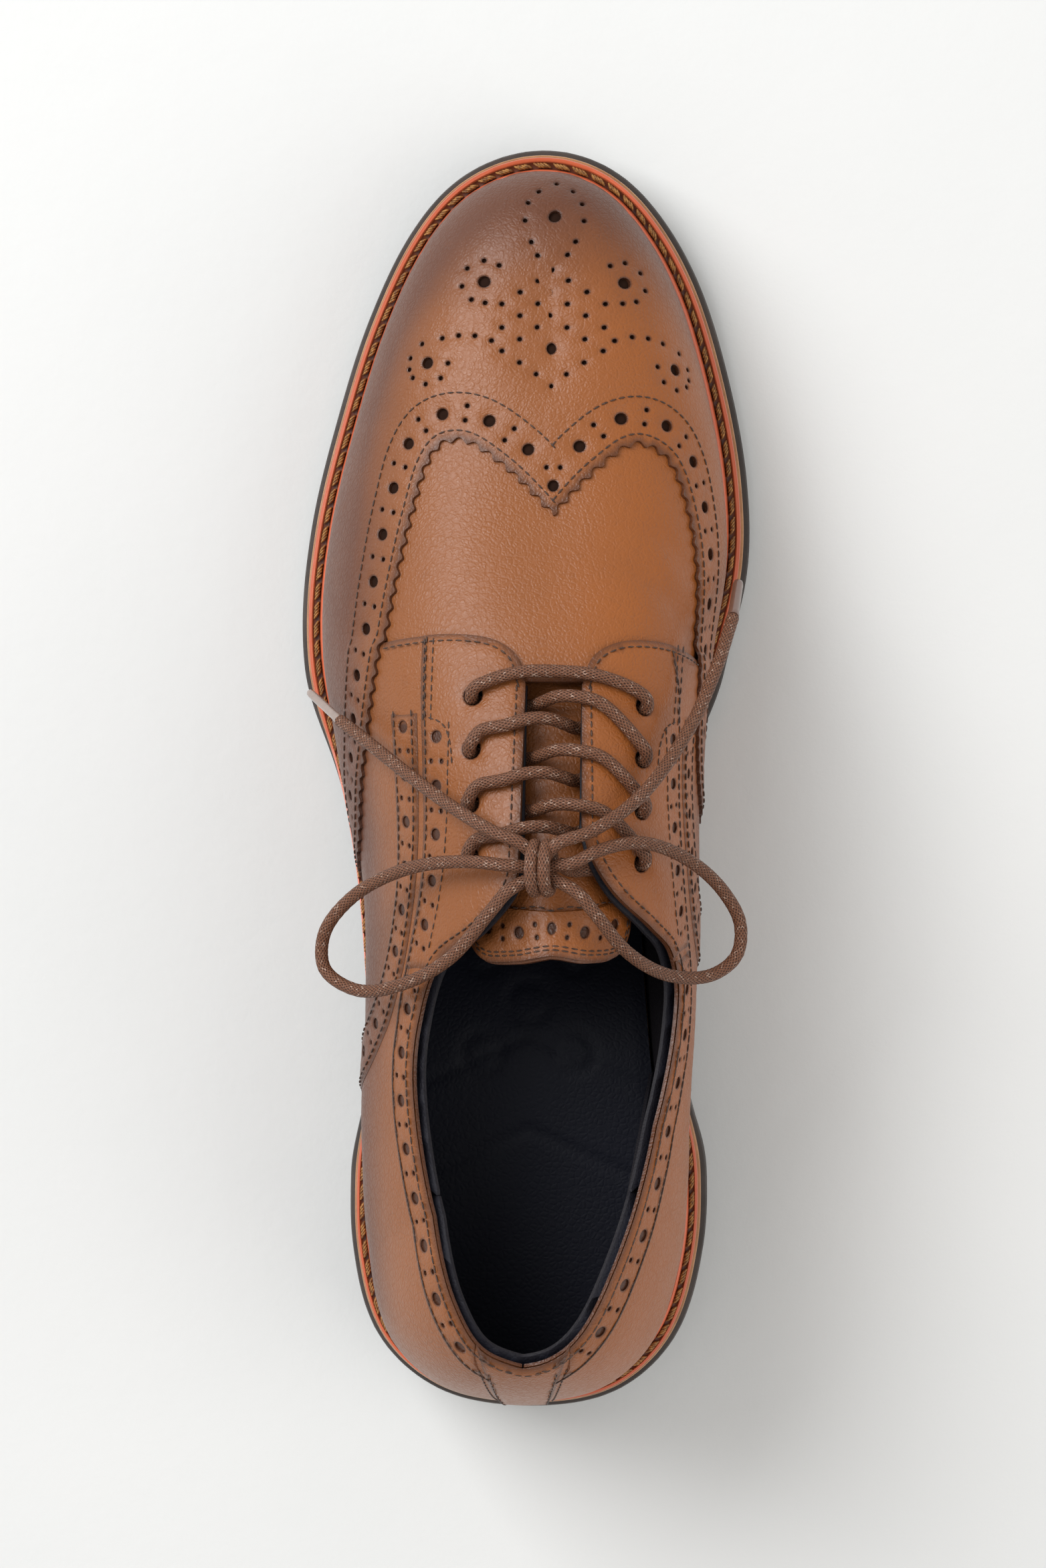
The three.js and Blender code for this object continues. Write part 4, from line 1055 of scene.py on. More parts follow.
GAP_CENTRE = 9.8
WING_POINT = 8.7         # where the wing's two curves meet
STRIP_HALF = 10.0        # half the heel strip's width
BAND_SPLIT = -46.0       # where the facing ends and the collar band begins
HEEL_END = -212          # past the flat net's end at the heel
TOE_END = 220
GAP_LATERAL = GAP_CENTRE - FACING_GAP / 2
GAP_MEDIAL = GAP_CENTRE + FACING_GAP / 2
THROAT = 27.6
PAST = 130.0


def smooth(points, step=1.5):
    return resample(centripetal(points), step)


def straight(points, step=2.0):
    return resample(np.array(points, float), step)


def across_foot(back, front, step):
    """Outline of a piece that runs across the whole flat net, between two y values."""
    return straight([(-PAST, back), (PAST, back), (PAST, front), (-PAST, front)], step)


TOPLINE = {}
TOPLINE[LATERAL] = np.vstack([
    straight([(GAP_LATERAL, THROAT), (GAP_LATERAL, -12)]),
    smooth([(GAP_LATERAL, -14), (GAP_LATERAL - 1, -24), (-6, -34), (-18.8, -43), (-25.5, -56), (-27.5, -69),
            (-25.6, -83), (-21.5, -97), (-17, -108), (-11.5, -120), (-5.5, -130), (2.8, -135)]),
])
TOPLINE[MEDIAL] = np.vstack([
    straight([(GAP_MEDIAL, THROAT), (GAP_MEDIAL, -9)]),
    smooth([(GAP_MEDIAL, -10.5), (GAP_MEDIAL + 2, -18), (23, -26), (34, -35.5), (43, -43.5), (47.6, -54),
            (46.3, -65), (42, -78), (36.5, -90), (30.5, -101.5), (23.5, -114), (16, -126.5), (9, -133),
            (3.4, -135)]),
])
BAND_EDGE = {}
BAND_EDGE[LATERAL] = smooth([
    (-21, 31.5), (-21.5, 20), (-21.8, 5), (-22.5, -10), (-25, -25), (-30, -41), (-34.5, -55), (-36.5, -70),
    (-34.8, -84.5), (-30.5, -99), (-25.5, -111.5), (-19.5, -124), (-12, -137), (-3, -147),
])
BAND_EDGE[MEDIAL] = smooth([
    (39, 30), (43, 20), (46, 5), (47.5, -10), (50, -25), (53.5, -40), (56.5, -54), (55.5, -68), (51, -82),
    (45.5, -94.5), (39, -106.5), (31.5, -119), (23, -132), (10, -147),
])
WING_LATERAL = smooth([
    (-110, -52), (-62, -23), (-49.3, -2), (-40, 14.5), (-33.9, 29), (-29.1, 45.5), (-24.6, 62),
    (-21, 73), (-17.5, 77.4), (-12, 78), (-3, 72), (WING_POINT, 60.3),
], 0.6)
WING_MEDIAL = smooth([
    (WING_POINT, 60.3), (19, 71.5), (27, 77.4), (34, 75.6), (37.8, 72), (43.8, 60), (49, 44),
    (55, 26), (62, 8), (74, -14), (120, -50),
], 0.6)
WING_EDGE = np.vstack([WING_LATERAL, WING_MEDIAL[1:]])


def heel_seam(y):
    return 2.9 + (np.asarray(y, float) + 135) * 0.084


def behind(line, limit):
    return line[line[:, 1] < limit]


def from_heel_seam(line, side):
    """How far a line's points lie from the heel seam, towards a side."""
    return (line[:, 0] - heel_seam(line[:, 1])) * side


def heel_line(side, half):
    y = np.arange(-90.0, HEEL_END, -2.0)
    return np.column_stack([heel_seam(y) + side * half, y])


def pinked(line, pitch=3.9, depth=1.2):
    """A saw-tooth edge along a line, with rounded points."""
    fine = resample(line, pitch / 8)
    along = np.gradient(fine, axis=0)
    along /= np.linalg.norm(along, axis=1)[:, None]
    left = np.stack([-along[:, 1], along[:, 0]], axis=1)
    run = lengths_of(fine)
    tooth = 0.5 - 0.5 * np.cos(2 * math.pi * run / pitch)
    return fine - left * (depth * (tooth ** 1.4 - 0.5))[:, None]


# ---------------------------------------------------------------- perforations

BIG_HOLE = 1.35
SMALL_HOLE = 0.52
HOLE_PITCH = 11.2


def punch_row(line, start=0.0, stop=None, pitch=HOLE_PITCH, big=BIG_HOLE, spread=1.7):
    """Big holes along a line, with a pair of small ones across it between each two."""
    run = lengths_of(line)[-1]
    stop = run if stop is None else stop
    holes = []
    along = np.gradient(line, axis=0)
    along /= np.linalg.norm(along, axis=1)[:, None]
    for i, distance in enumerate(np.arange(start, stop, pitch / 2)):
        centre = read_along(line, [distance])[0]
        near = np.argmin(np.linalg.norm(line - centre, axis=1))
        direction = along[near]
        across = np.array([-direction[1], direction[0]])
        if i % 2 == 0:
            holes.append((centre, big))
        else:
            holes.append((centre + across * spread, SMALL_HOLE))
            holes.append((centre - across * spread, SMALL_HOLE))
    return holes


def medallion():
    """Toe pattern, mirrored about its axis: a drop, a diamond lattice and two loops on each side."""
    axis = 8.0
    top = 118.3
    lattice = [(0,), (1,), (0, 2), (1, 3), (0, 2), (1, 3), (2,), (3,), (2,), (1,), (0,)]
    half = []
    for row, steps in enumerate(lattice):
        half += [(3.85 * i, top - 2.8 * row) for i in steps]
    half += [(0, 139.2), (3.7, 137.2), (5.8, 133.9), (6.3, 129.6), (4.8, 124.7), (3.3, 121.7)]
    for degrees in (50, 90, 138, 190, 236, 272):
        turn = math.radians(180 - degrees)
        half.append((15.3 + 5 * math.cos(turn), 115.2 + 5 * math.sin(turn)))
    for degrees in (-5, -50, -96, -141, -168, 160, 108):
        turn = math.radians(180 - degrees)
        half.append((28.4 + 5 * math.cos(turn), 96.6 + 5 * math.sin(turn)))
    half += [(24.8, 102.2), (21, 102.6), (17.4, 102.4), (13.8, 101.2)]
    big = [(0, 130.5), (15.3, 115.2), (0, 99.2), (28.4, 96.6)]
    holes = []
    for points, radius in ((half, SMALL_HOLE), (big, BIG_HOLE)):
        for x, y in points:
            for side in ((1,) if x == 0 else (-1, 1)):
                holes.append((np.array([axis + side * x, y]), radius))
    return holes


# ---------------------------------------------------------------- upper, outside

def wing_stack(xy):
    """Offset of what the wing lies on: thin beside the open vamp, thicker over quarters and toe puff."""
    away = nearest_distance(xy, WING_EDGE)
    over_vamp = VAMP_FACE + 1.1 * smoothstep(away, 0, 20)
    over_quarter = smoothstep(-xy[:, 1], -33.5, -30.5)
    return over_vamp + (QUARTER_FACE - over_vamp) * over_quarter


def wing_lines(inset, stop=WING_POINT, start=WING_POINT):
    """A line beside each of the wing's two curves, cut off near the point between them."""
    outer = parallel(WING_LATERAL, inset)
    inner = parallel(WING_MEDIAL, inset)
    return [outer[outer[:, 0] < stop], inner[inner[:, 0] > start]]


wing_band = wing_lines(11.0)
wing_inner_seam = wing_lines(2.2)
wing_rows = wing_lines(6.4, 3.0, 14.5)
wing_rows[0] = wing_rows[0][::-1]


def wing_holes():
    holes = medallion()
    for row in wing_rows:
        holes += punch_row(row, 0.4)
    holes.append((np.array([WING_POINT, 67.0]), BIG_HOLE))
    holes += [(np.array([WING_POINT + side * 1.7, 71.3]), SMALL_HOLE) for side in (LATERAL, MEDIAL)]
    inside_net = inside(np.array([c for c, _ in holes]), feather_flat * 0.985)
    return [hole for hole, good in zip(holes, inside_net) if good]


def wing_outline(edge):
    return np.vstack([edge, straight([(120, TOE_END), (-110, TOE_END)], 10)])


wing_punches = wing_holes()
wrapped_piece("wing_cap_leather", wing_outline(pinked(WING_EDGE)), wing_stack,
              lambda xy: wing_stack(xy) + WING_THICKNESS, SHOE, "upper_leather_dark", ["wing_cap"],
              holes=wing_punches, groove=wing_band + wing_inner_seam, creases=wing_band + wing_inner_seam)
# A dark sheet under the wing: painted shade at the bottom of its punched holes.
wrapped_piece("wing_hole_shade_backing", wing_outline(parallel(WING_EDGE, 1.6)), lambda xy: wing_stack(xy) - 0.3,
              lambda xy: wing_stack(xy) + 0.08, SHOE, "upper_leather_dark", [], material=HOLE_SHADE_BACKING, spacing=3.5)


wrapped_piece("toe_puff_board", across_foot(93, TOE_END, 8), 1.1, 3.0, SHOE, "stiffener", ["toe_puff"],
              material=FIBRE_BOARD, spacing=4.0)


def vamp_face(xy):
    """The vamp's face, with soft creases where the foot bends it."""
    x, y = xy[:, 0], xy[:, 1]
    slant = (x - 28) * 0.5 + (y - 48) * 0.87
    crease = 0.8 * bell(slant, 0, 3.4) * bell(x, 36, 12)
    second = 0.5 * bell(slant, 10, 3.0) * bell(x, 38, 9)
    return VAMP_FACE - crease - second


wrapped_piece("vamp_leather", across_foot(22, 92, 6), 1.2, vamp_face, SHOE, "upper_leather", ["vamp"],
              spacing=2.2)


def eyelets(side):
    x, y = (-8.0, 18.3) if side < 0 else (29.5, 16.6)
    return [np.array([x, y - pair * EYELET_PITCH]) for pair in range(EYELET_PAIRS)]


def quarter_front(side):
    """Front edge of a quarter: across the vamp and round into the lacing gap."""
    if side < 0:
        return smooth([(-36, 31.2), (-26, 32.2), (-12.3, 32.6), (-3.5, 31), (1.2, 27.5), (GAP_LATERAL, 21)])
    return smooth([(60, 29.5), (44, 31.0), (31, 31.6), (23, 30.4), (18.2, 27), (GAP_MEDIAL, 20.5)])


def quarter_outline(side):
    line = TOPLINE[side]
    line = line[line[:, 1] < 19]
    return np.vstack([
        line,
        heel_line(side, 0.2)[23:],
        straight([(side * PAST, HEEL_END), (side * PAST, 22)], 10),
        straight([(side * 75, 24), (side * 62, 28)], 4),
        quarter_front(side),
    ])


BAND_ROW = 4.6          # big holes from the band's outer edge

def band_seams(side):
    """Stitch lines along the band: near the topline, inside and outside the row of holes."""
    line = TOPLINE[side]
    edge = BAND_EDGE[side]
    top = parallel(line[line[:, 1] < 22], 1.8 * side)
    outer = parallel(edge, -1.5 * side)
    inner = parallel(edge, -8.0 * side)
    inner = inner[(inner[:, 1] < 12) & (inner[:, 1] > -40)]
    return top, outer, inner


def front_seams(side):
    """Stitching of the facing's front edge, the short double line and the curve round the row of holes."""
    front = quarter_front(side)
    seam = parallel(front, 1.6 * side)
    seam = seam[np.abs(seam[:, 0] - GAP_CENTRE) < 42]
    x = -20.0 if side < 0 else 41.5
    double = [straight([(x, 31.0), (x + side * 0.6, 14.0)], 1.5),
              straight([(x - side * 2.2, 31.0), (x - side * 1.6, 14.0)], 1.5)]
    turn = smooth([(x - side * across, y) for across, y in ((1.6, 13.6), (4.6, 12.4), (6.6, 8.6), (7.2, 4))])
    return [seam] + double + [turn]


all_seams = {SHOE: [], TONGUE: []}
covers = {-1: [], 1: []}         # outlines of the pieces that lie on each quarter


def sew(body, lines, offset):
    """Remember stitch lines on a body: flat lines with the offset of the leather's face."""
    for line in lines:
        if len(line) < 2:
            continue
        good = inside(line, feather_flat * 0.99)
        line = line[good]
        if len(line) > 2:
            all_seams[body].append((line, offset))


def band_holes(side):
    """The row of holes along the band, from the facing to the heel."""
    row = parallel(BAND_EDGE[side], -BAND_ROW * side)
    row = row[(row[:, 1] < 11) & (row[:, 1] > -137)]
    return punch_row(row, 1.0, spread=1.5)


def facing(side, name):
    """The eyelet facing, with the front end of the perforated band."""
    line, edge = TOPLINE[side], BAND_EDGE[side]
    front = quarter_front(side)
    holes = [hole for hole in band_holes(side) if hole[0][1] > BAND_SPLIT + 2]
    holes += [(centre, HOLE_RADIUS) for centre in eyelets(side)]
    gap_side = line[(line[:, 1] >= BAND_SPLIT) & (line[:, 1] <= 19.0)]
    edge_line = edge[(edge[:, 1] >= BAND_SPLIT - 1) & (edge[:, 1] <= 31)]
    front_part = front[(front[:, 0] > -21.5) & (front[:, 0] < 39.5)]
    outline = np.vstack([gap_side, edge_line[::-1], front_part])
    seams = [*band_seams(side), *front_seams(side)]
    covers[side].append(outline)
    wrapped_piece(f"eyestay_{name}_leather", outline, QUARTER_FACE, OVERLAY_FACE, SHOE, "upper_leather",
                  [f"eyestay_{name}"], holes=holes, groove=seams, roll=0.9)
    sew(SHOE, seams, OVERLAY_FACE)


def collar_band(side, name):
    """The band round the opening, from the facing to the heel strip."""
    band_top = behind(TOPLINE[side], BAND_SPLIT - 0.3)
    band_top = band_top[from_heel_seam(band_top, side) > STRIP_HALF + 0.2]
    band_edge = behind(BAND_EDGE[side], BAND_SPLIT - 1.3)
    band_edge = band_edge[from_heel_seam(band_edge, side) > STRIP_HALF + 0.2]
    holes = [hole for hole in band_holes(side) if hole[0][1] < BAND_SPLIT - 2
             and from_heel_seam(hole[0][None, :], side)[0] > STRIP_HALF + 2]
    outline = np.vstack([band_top, band_edge[::-1]])
    covers[side].append(outline)
    wrapped_piece(f"collar_band_{name}_leather", outline, QUARTER_FACE, OVERLAY_FACE, SHOE,
                  "upper_leather", [f"collar_band_{name}"], holes=holes,
                  groove=band_seams(side)[:2], roll=0.9)


for side, name in SIDES:
    facing(side, name)
    collar_band(side, name)

SIDE_BAND = {
    -1: ([(-22.8, 15), (-23.4, 0), (-25, -15), (-28.5, -32), (-34, -50), (-43, -68), (-62, -90), (-95, -116)],
         [(-31.5, 15), (-32.2, 0), (-34, -16), (-37.5, -33), (-43.5, -50), (-54, -66), (-72, -84),
          (-100, -102)]),
    1: ([(48, 15), (49, 0), (51.2, -14), (54.5, -28), (60, -44), (71, -64), (92, -86), (118, -102)],
        [(56.8, 15), (57.8, 0), (60, -14), (63.8, -27), (70, -40), (82, -56), (100, -72), (120, -84)]),
}


def side_band(side, name):
    """The perforated band that runs from the facing down to the sole."""
    near, far = (smooth(points) for points in SIDE_BAND[side])
    count = 160
    a = read_along(near, np.linspace(0, lengths_of(near)[-1], count))
    b = read_along(far, np.linspace(0, lengths_of(far)[-1], count))
    centre = (a + b) / 2
    centre = centre[inside(centre, feather_flat * 0.97)]
    seams = [parallel(near, 1.4 * side), parallel(far, -1.4 * side)]
    outline = np.vstack([near, far[::-1]])
    covers[side].append(outline)
    wrapped_piece(f"side_band_{name}_leather", outline, QUARTER_FACE, SIDE_BAND_FACE,
                  SHOE, "upper_leather", [f"side_band_{name}"], holes=punch_row(centre, 3.0, spread=1.5),
                  groove=seams, roll=0.9)
    sew(SHOE, seams, SIDE_BAND_FACE)


def quarter(side, name):
    holes = [(centre, HOLE_RADIUS) for centre in eyelets(side)]
    # Painted shade on the quarter under the pieces that lie on it, so their punched holes look dark.
    wrapped_piece(f"quarter_{name}_leather", quarter_outline(side), VAMP_FACE + 0.05, QUARTER_FACE, SHOE,
                  "upper_leather", [f"quarter_{name}"], holes=holes, spacing=1.8, hole_shade_under=covers[side])


for side, name in SIDES:
    side_band(side, name)
for side, name in SIDES:
    quarter(side, name)


def strip_top_line(side):
    line = behind(TOPLINE[side], -90)
    return line[from_heel_seam(line, side) < STRIP_HALF]


strip_top = np.vstack([strip_top_line(LATERAL), strip_top_line(MEDIAL)[::-1]])
strip_outline = np.vstack([strip_top, behind(heel_line(MEDIAL, STRIP_HALF), -126),
                           behind(heel_line(LATERAL, STRIP_HALF), -126)[::-1]])
wrapped_piece("heel_strip_leather", strip_outline, QUARTER_FACE, STRIP_FACE, SHOE,
              "upper_leather_dark", ["heel_strip"], roll=0.8)

# ---------------------------------------------------------------- upper, inside

LINING_SPACING = 3.2
LINING_JOIN = -98.2      # between the quarter linings and the heel lining
wrapped_piece("vamp_lining_leather", across_foot(22.8, TOE_END, 8), 0.0, 0.9, SHOE, "lining",
              ["vamp_lining"], material=NAVY, spacing=LINING_SPACING)
for side, name in SIDES:
    line = TOPLINE[side]
    used = line[(line[:, 1] < 22.4) & (line[:, 1] > -98)]
    outline = np.vstack([used, straight([(used[-1][0], LINING_JOIN), (side * PAST, LINING_JOIN),
                                         (side * PAST, 22.4)], 4)])
    wrapped_piece(f"quarter_lining_{name}_leather", outline, 0.0, LINING_FACE, SHOE, "lining",
                  [f"quarter_lining_{name}"], holes=[(c, HOLE_RADIUS) for c in eyelets(side)],
                  material=NAVY, roll=0.7, spacing=LINING_SPACING)
around = np.vstack([behind(TOPLINE[LATERAL], LINING_JOIN - 0.2),
                    behind(TOPLINE[MEDIAL], LINING_JOIN - 0.2)[::-1]])
wrapped_piece("heel_lining_leather",
              np.vstack([around, straight([(PAST, LINING_JOIN - 0.2), (PAST, HEEL_END), (-PAST, HEEL_END),
                                          (-PAST, LINING_JOIN - 0.2)], 4)]),
              0.0, LINING_FACE, SHOE, "lining", ["heel_lining"], material=NAVY, roll=0.7,
              spacing=LINING_SPACING)
counter_top = smooth([(-PAST, -60), (-60, -72), (-40, -96), (-29, -120), (-17, -139), (2, -146),
                      (22, -138), (36, -120), (48, -98), (72, -74), (PAST, -62)])
counter_foot = straight([(PAST, HEEL_END), (-PAST, HEEL_END)], 8)
wrapped_piece("heel_counter_board", np.vstack([counter_top, counter_foot]),
              1.3, LINING_FACE - 0.1, SHOE, "stiffener", ["heel_counter"], material=FIBRE_BOARD, spacing=4.0)

# ---------------------------------------------------------------- tongue

TONGUE_TOP = -0.6 - LACE_RADIUS - LACE_RADIUS - 0.6
TONGUE_THICKNESS = 2.0


def tongue_drop(xy):
    return -SEAM_GAP + (TONGUE_TOP + SEAM_GAP) * smoothstep(-xy[:, 1], -36, -23)


def tongue_outline(inset):
    return smooth([
        (-4 + inset, 36), (-9 + inset, 22), (-13 + inset, 4), (-15.5 + inset, -14), (-18 + inset, -30),
        (-17 + inset, -38 + inset), (-12, -41.5 + inset), (-2, -41 + inset), (GAP_CENTRE, -39 + inset),
        (21.5, -41 + inset), (31.5, -41.5 + inset), (36.6 - inset, -38 + inset), (37.6 - inset, -30),
        (35 - inset, -14), (32.6 - inset, 4), (28.6 - inset, 22), (23.6 - inset, 36),
    ])


tongue_edge = tongue_outline(0.0)
tip = tongue_edge[tongue_edge[:, 1] < -24]
tongue_row = smooth([(-12.5, -33), (-6, -34), (2, -33.4), (GAP_CENTRE, -32.2), (17.6, -33.4), (26, -34),
                     (32, -33)])
facing_holes = punch_row(tongue_row, 2.5, pitch=10.0, spread=1.5)
scallop = np.linspace(-15, 34.5, 200)
tongue_seams = [parallel(tip, 1.9), parallel(tip, 2.8),
                np.column_stack([scallop, -28.3 + 0.9 * np.abs(np.sin(scallop * math.pi / 9.9))])]
tongue_seams = [line[line[:, 1] < -26] for line in tongue_seams]
facing_outline = tongue_outline(0.5)
facing_outline = facing_outline[facing_outline[:, 1] < -25.5]
wrapped_piece("tongue_facing_leather", facing_outline, TONGUE_TOP + 0.02, TONGUE_TOP + 0.75, TONGUE,
              "upper_leather", ["tongue_facing"], holes=facing_holes, groove=tongue_seams, spacing=1.6)
# Painted shade on the tongue under its facing, so the facing's punched holes look dark.
wrapped_piece("tongue_leather", tongue_edge, lambda xy: tongue_drop(xy) - TONGUE_THICKNESS, tongue_drop,
              TONGUE, "upper_leather", ["tongue"], spacing=2.0, hole_shade_under=[facing_outline])
wrapped_piece("tongue_lining_leather", tongue_outline(0.6),
              lambda xy: tongue_drop(xy) - TONGUE_THICKNESS - 1.0,
              lambda xy: tongue_drop(xy) - TONGUE_THICKNESS - 0.02, TONGUE, "lining", ["tongue_lining"],
              material=NAVY)
sew(TONGUE, tongue_seams, TONGUE_TOP + 0.75)

# ---------------------------------------------------------------- seams of the upper

SEAM_PITCH = 2.2
STITCH_LENGTH = 1.75
STITCH_WIDTH = 0.42
sew(SHOE, wing_band, None)
sew(SHOE, wing_inner_seam, None)
for side in (LATERAL, MEDIAL):
    for seam in band_seams(side)[:2]:
        seam = seam[from_heel_seam(seam, side) > STRIP_HALF + 0.5]
        sew(SHOE, [behind(seam, BAND_SPLIT - 1)], OVERLAY_FACE)
    for shift, face in ((-1.3, STRIP_FACE), (1.3, OVERLAY_FACE - 0.6)):
        sew(SHOE, [behind(heel_line(side, STRIP_HALF + shift), -137)], face)
sew(SHOE, [strip_top + [0, -2.2]], STRIP_FACE)


def stitches(name, body):
    """All the remembered stitch lines of a body as one piece."""
    lines, ups = [], []
    for flat_line, offset in all_seams[body]:
        flat_line = resample(flat_line, 1.0)
        if offset is None:
            offset = wing_stack(flat_line) + WING_THICKNESS
        lines.append(last.wrap(flat_line, offset))
        column, row = last.locate(flat_line)
        ups.append(last.read(last.normal, column, row))
    thing = path_object(name, lines, ups)
    SEAM.apply(thing, Pitch=SEAM_PITCH * MM, Length=STITCH_LENGTH * MM, Width=STITCH_WIDTH * MM)
    return finish_piece(thing, body, "lace")


stitches("upper_stitches", SHOE)
stitches("tongue_stitches", TONGUE)


# ---------------------------------------------------------------- sole

def feather_loop(distance, count=360):
    """The feather line moved outwards in plan by a distance, or by a function of y."""
    feet = [last.point[:, 0], last.point[::-1, -1][1:-1]]
    normals = [last.normal[:, 0], last.normal[::-1, -1][1:-1]]
    points = np.concatenate(feet)[:, :2]
    outward = np.concatenate(normals)[:, :2]
    outward = outward / np.linalg.norm(outward, axis=1)[:, None]
    for _ in range(6):
        outward = (np.roll(outward, 1, axis=0) + 2 * outward + np.roll(outward, -1, axis=0)) / 4
        outward /= np.linalg.norm(outward, axis=1)[:, None]
    reach = distance(points[:, 1]) if callable(distance) else distance
    loop = points + outward * np.reshape(reach, (-1, 1))
    return closed_samples(loop, lengths_of(np.vstack([loop, loop[:1]]))[-1] / count)


def waist(y):
    """1 under the arch, where the sole tucks in below the upper, 0 at forepart and heel."""
    return smoothstep(y, -96, -68) * (1 - smoothstep(y, -8, 26))


def welt_reach(y):
    reach = WELT_REACH_HEEL + (WELT_REACH_TOE - WELT_REACH_HEEL) * smoothstep(y, -110, 0)
    return reach - 3.2 * waist(y)


def welt_loop(extra):
    """The welt's outline, moved outwards by extra, of which little is left under the arch."""
    return feather_loop(lambda y: UPPER_THICKNESS + welt_reach(y) + extra - 0.75 * max(extra, 0) * waist(y))


def swept_ring(name, sections, material, attributes, body, slot, nodes):
    """A closed ring: each section is a loop of plan points with heights, joined to the next."""
    faces = row_faces(len(sections), len(sections[0]), closed=True)
    thing = make_mesh(name, np.vstack(sections), faces, material, attributes, sharp=35.0)
    return finish_piece(thing, body, slot, *nodes)


def shelf_loop(share, level):
    """A loop on the welt's shelf: share 0 at the upper's foot, 1 at the welt's outer edge."""
    loop = feather_loop(lambda y: WING_FOOT + share * (UPPER_THICKNESS + welt_reach(y) - WING_FOOT))
    return np.column_stack([loop, sole_bottom(loop[:, 1]) + level])


WING_FOOT = 3.9          # where the bead meets the upper
WELT_SEAM_SHARE = 0.67   # where the groove with the stitches runs across the shelf
top = WELT_LEVEL + WELT
# In the profile, groove is the share of painted shade and bead the share of painted highlight.
profile = [  # share across the shelf, level, groove, bead
    (-0.75, top, 0, 0), (-0.1, top + 0.1, 0, 1), (0.0, top + 1.2, 0, 1), (0.2, top + 1.6, 0, 1),
    (0.38, top + 1.7, 0, 1), (0.46, top + 1.45, 0, 1), (0.5, top + 0.9, 0.1, 1), (0.53, top + 0.2, 0.8, 0.2),
    (0.57, top - 0.25, 1, 0), (0.68, top - 0.35, 1, 0), (0.78, top - 0.2, 0.9, 0),
    (0.82, top + 0.1, 0.2, 0.7),
    (0.86, top + 0.25, 0, 0.9), (0.97, top + 0.15, 0, 0.8), (1.0, top - 0.3, 0, 0.3),
    (1.0, WELT_LEVEL + 0.4, 0, 0), (0.97, WELT_LEVEL, 0, 0), (-0.75, WELT_LEVEL, 0, 0),
]
sections = [shelf_loop(share, level) for share, level, _, _ in profile]
count = len(sections[0])
swept_ring("storm_welt", sections, WELT_LEATHER,
           {"groove": np.repeat([row[2] for row in profile], count).astype(float),
            "bead": np.repeat([row[3] for row in profile], count).astype(float)},
           SHOE, "welt", ["welt"])

welt_line = shelf_loop(WELT_SEAM_SHARE, top + 0.25)
welt_line = np.vstack([welt_line, welt_line[:1]])
welt_path = path_object("welt_stitches", [welt_line], [np.tile((0.0, 0.0, 1.0), (len(welt_line), 1))])
WELT_SEAM.apply(welt_path, Pitch=4.6 * MM, Length=3.5 * MM, Width=1.6 * MM)
finish_piece(welt_path, SHOE, "welt")


CAP_GRID = 6.0


def anticlockwise(loop):
    x, y = loop[:, 0], loop[:, 1]
    area = np.sum(x * np.roll(y, -1) - y * np.roll(x, -1))
    return loop if area > 0 else loop[::-1]


def cap_faces(loop, first, downward, points, height_at):
    """Triangles across a loop whose points are numbered from first; new points inside it go to points."""
    count = len(loop)
    low, high = loop.min(axis=0), loop.max(axis=0)
    grid = np.array([(x, y) for y in np.arange(low[1], high[1], CAP_GRID)
                     for x in np.arange(low[0], high[0], CAP_GRID)])
    grid = grid[inside(grid, loop)]
    grid = grid[nearest_distance(grid, loop) > 2.5]
    vertices = [Vector(p) for p in np.vstack([loop, grid])]
    edges = [(i, (i + 1) % count) for i in range(count)]
    result = delaunay_2d_cdt(vertices, edges, [], 0, 1e-5, True)
    names = {}
    for new, origins in enumerate(result[3]):
        if origins and origins[0] < count:
            names[new] = first + origins[0]
        else:
            names[new] = len(points)
            x, y = result[0][new]
            points.append(np.array([x, y, height_at(y)]))
    corners = np.array([tuple(v) for v in result[0]])
    triangles = np.array(result[2])
    faces = []
    for triangle in triangles[inside(corners[triangles].mean(axis=1), loop)].tolist():
        a, b, c = (corners[v] for v in triangle)
        face = [names[v] for v in triangle]
        faces.append(face[::-1] if (np.cross(b - a, c - a) > 0) == downward else face)
    return faces


def plate(name, loop_at, level, thickness, material, slot, nodes, round_edge=0.5, base=sole_bottom,
          limit_y=None):
    """A solid layer with rounded edges: a stack of loops, closed by a cut face above and below."""
    rows = [(-round_edge, 0.0), (-0.3 * round_edge, 0.15 * round_edge), (0.0, round_edge),
            (0.0, thickness - round_edge), (-0.3 * round_edge, thickness - 0.15 * round_edge),
            (-round_edge, thickness)]
    loops = []
    points = []
    for inset, height in rows:
        loop = loop_at(inset)
        if limit_y is not None:
            loop = trimmed(loop, limit_y + inset)
        loop = anticlockwise(loop)
        loops.append(loop)
        points.extend(np.column_stack([loop, base(loop[:, 1]) + level + height]))
    count = len(loops[0])
    faces = row_faces(len(rows), count)
    for row, downward in ((0, True), (len(rows) - 1, False)):
        height = level + rows[row][1]
        faces += cap_faces(loops[row], row * count, downward, points,
                           lambda y, height=height: float(base(y)) + height)
    thing = make_mesh(name, np.array(points), faces, material, sharp=35.0)
    return finish_piece(thing, SHOE, slot, *nodes)


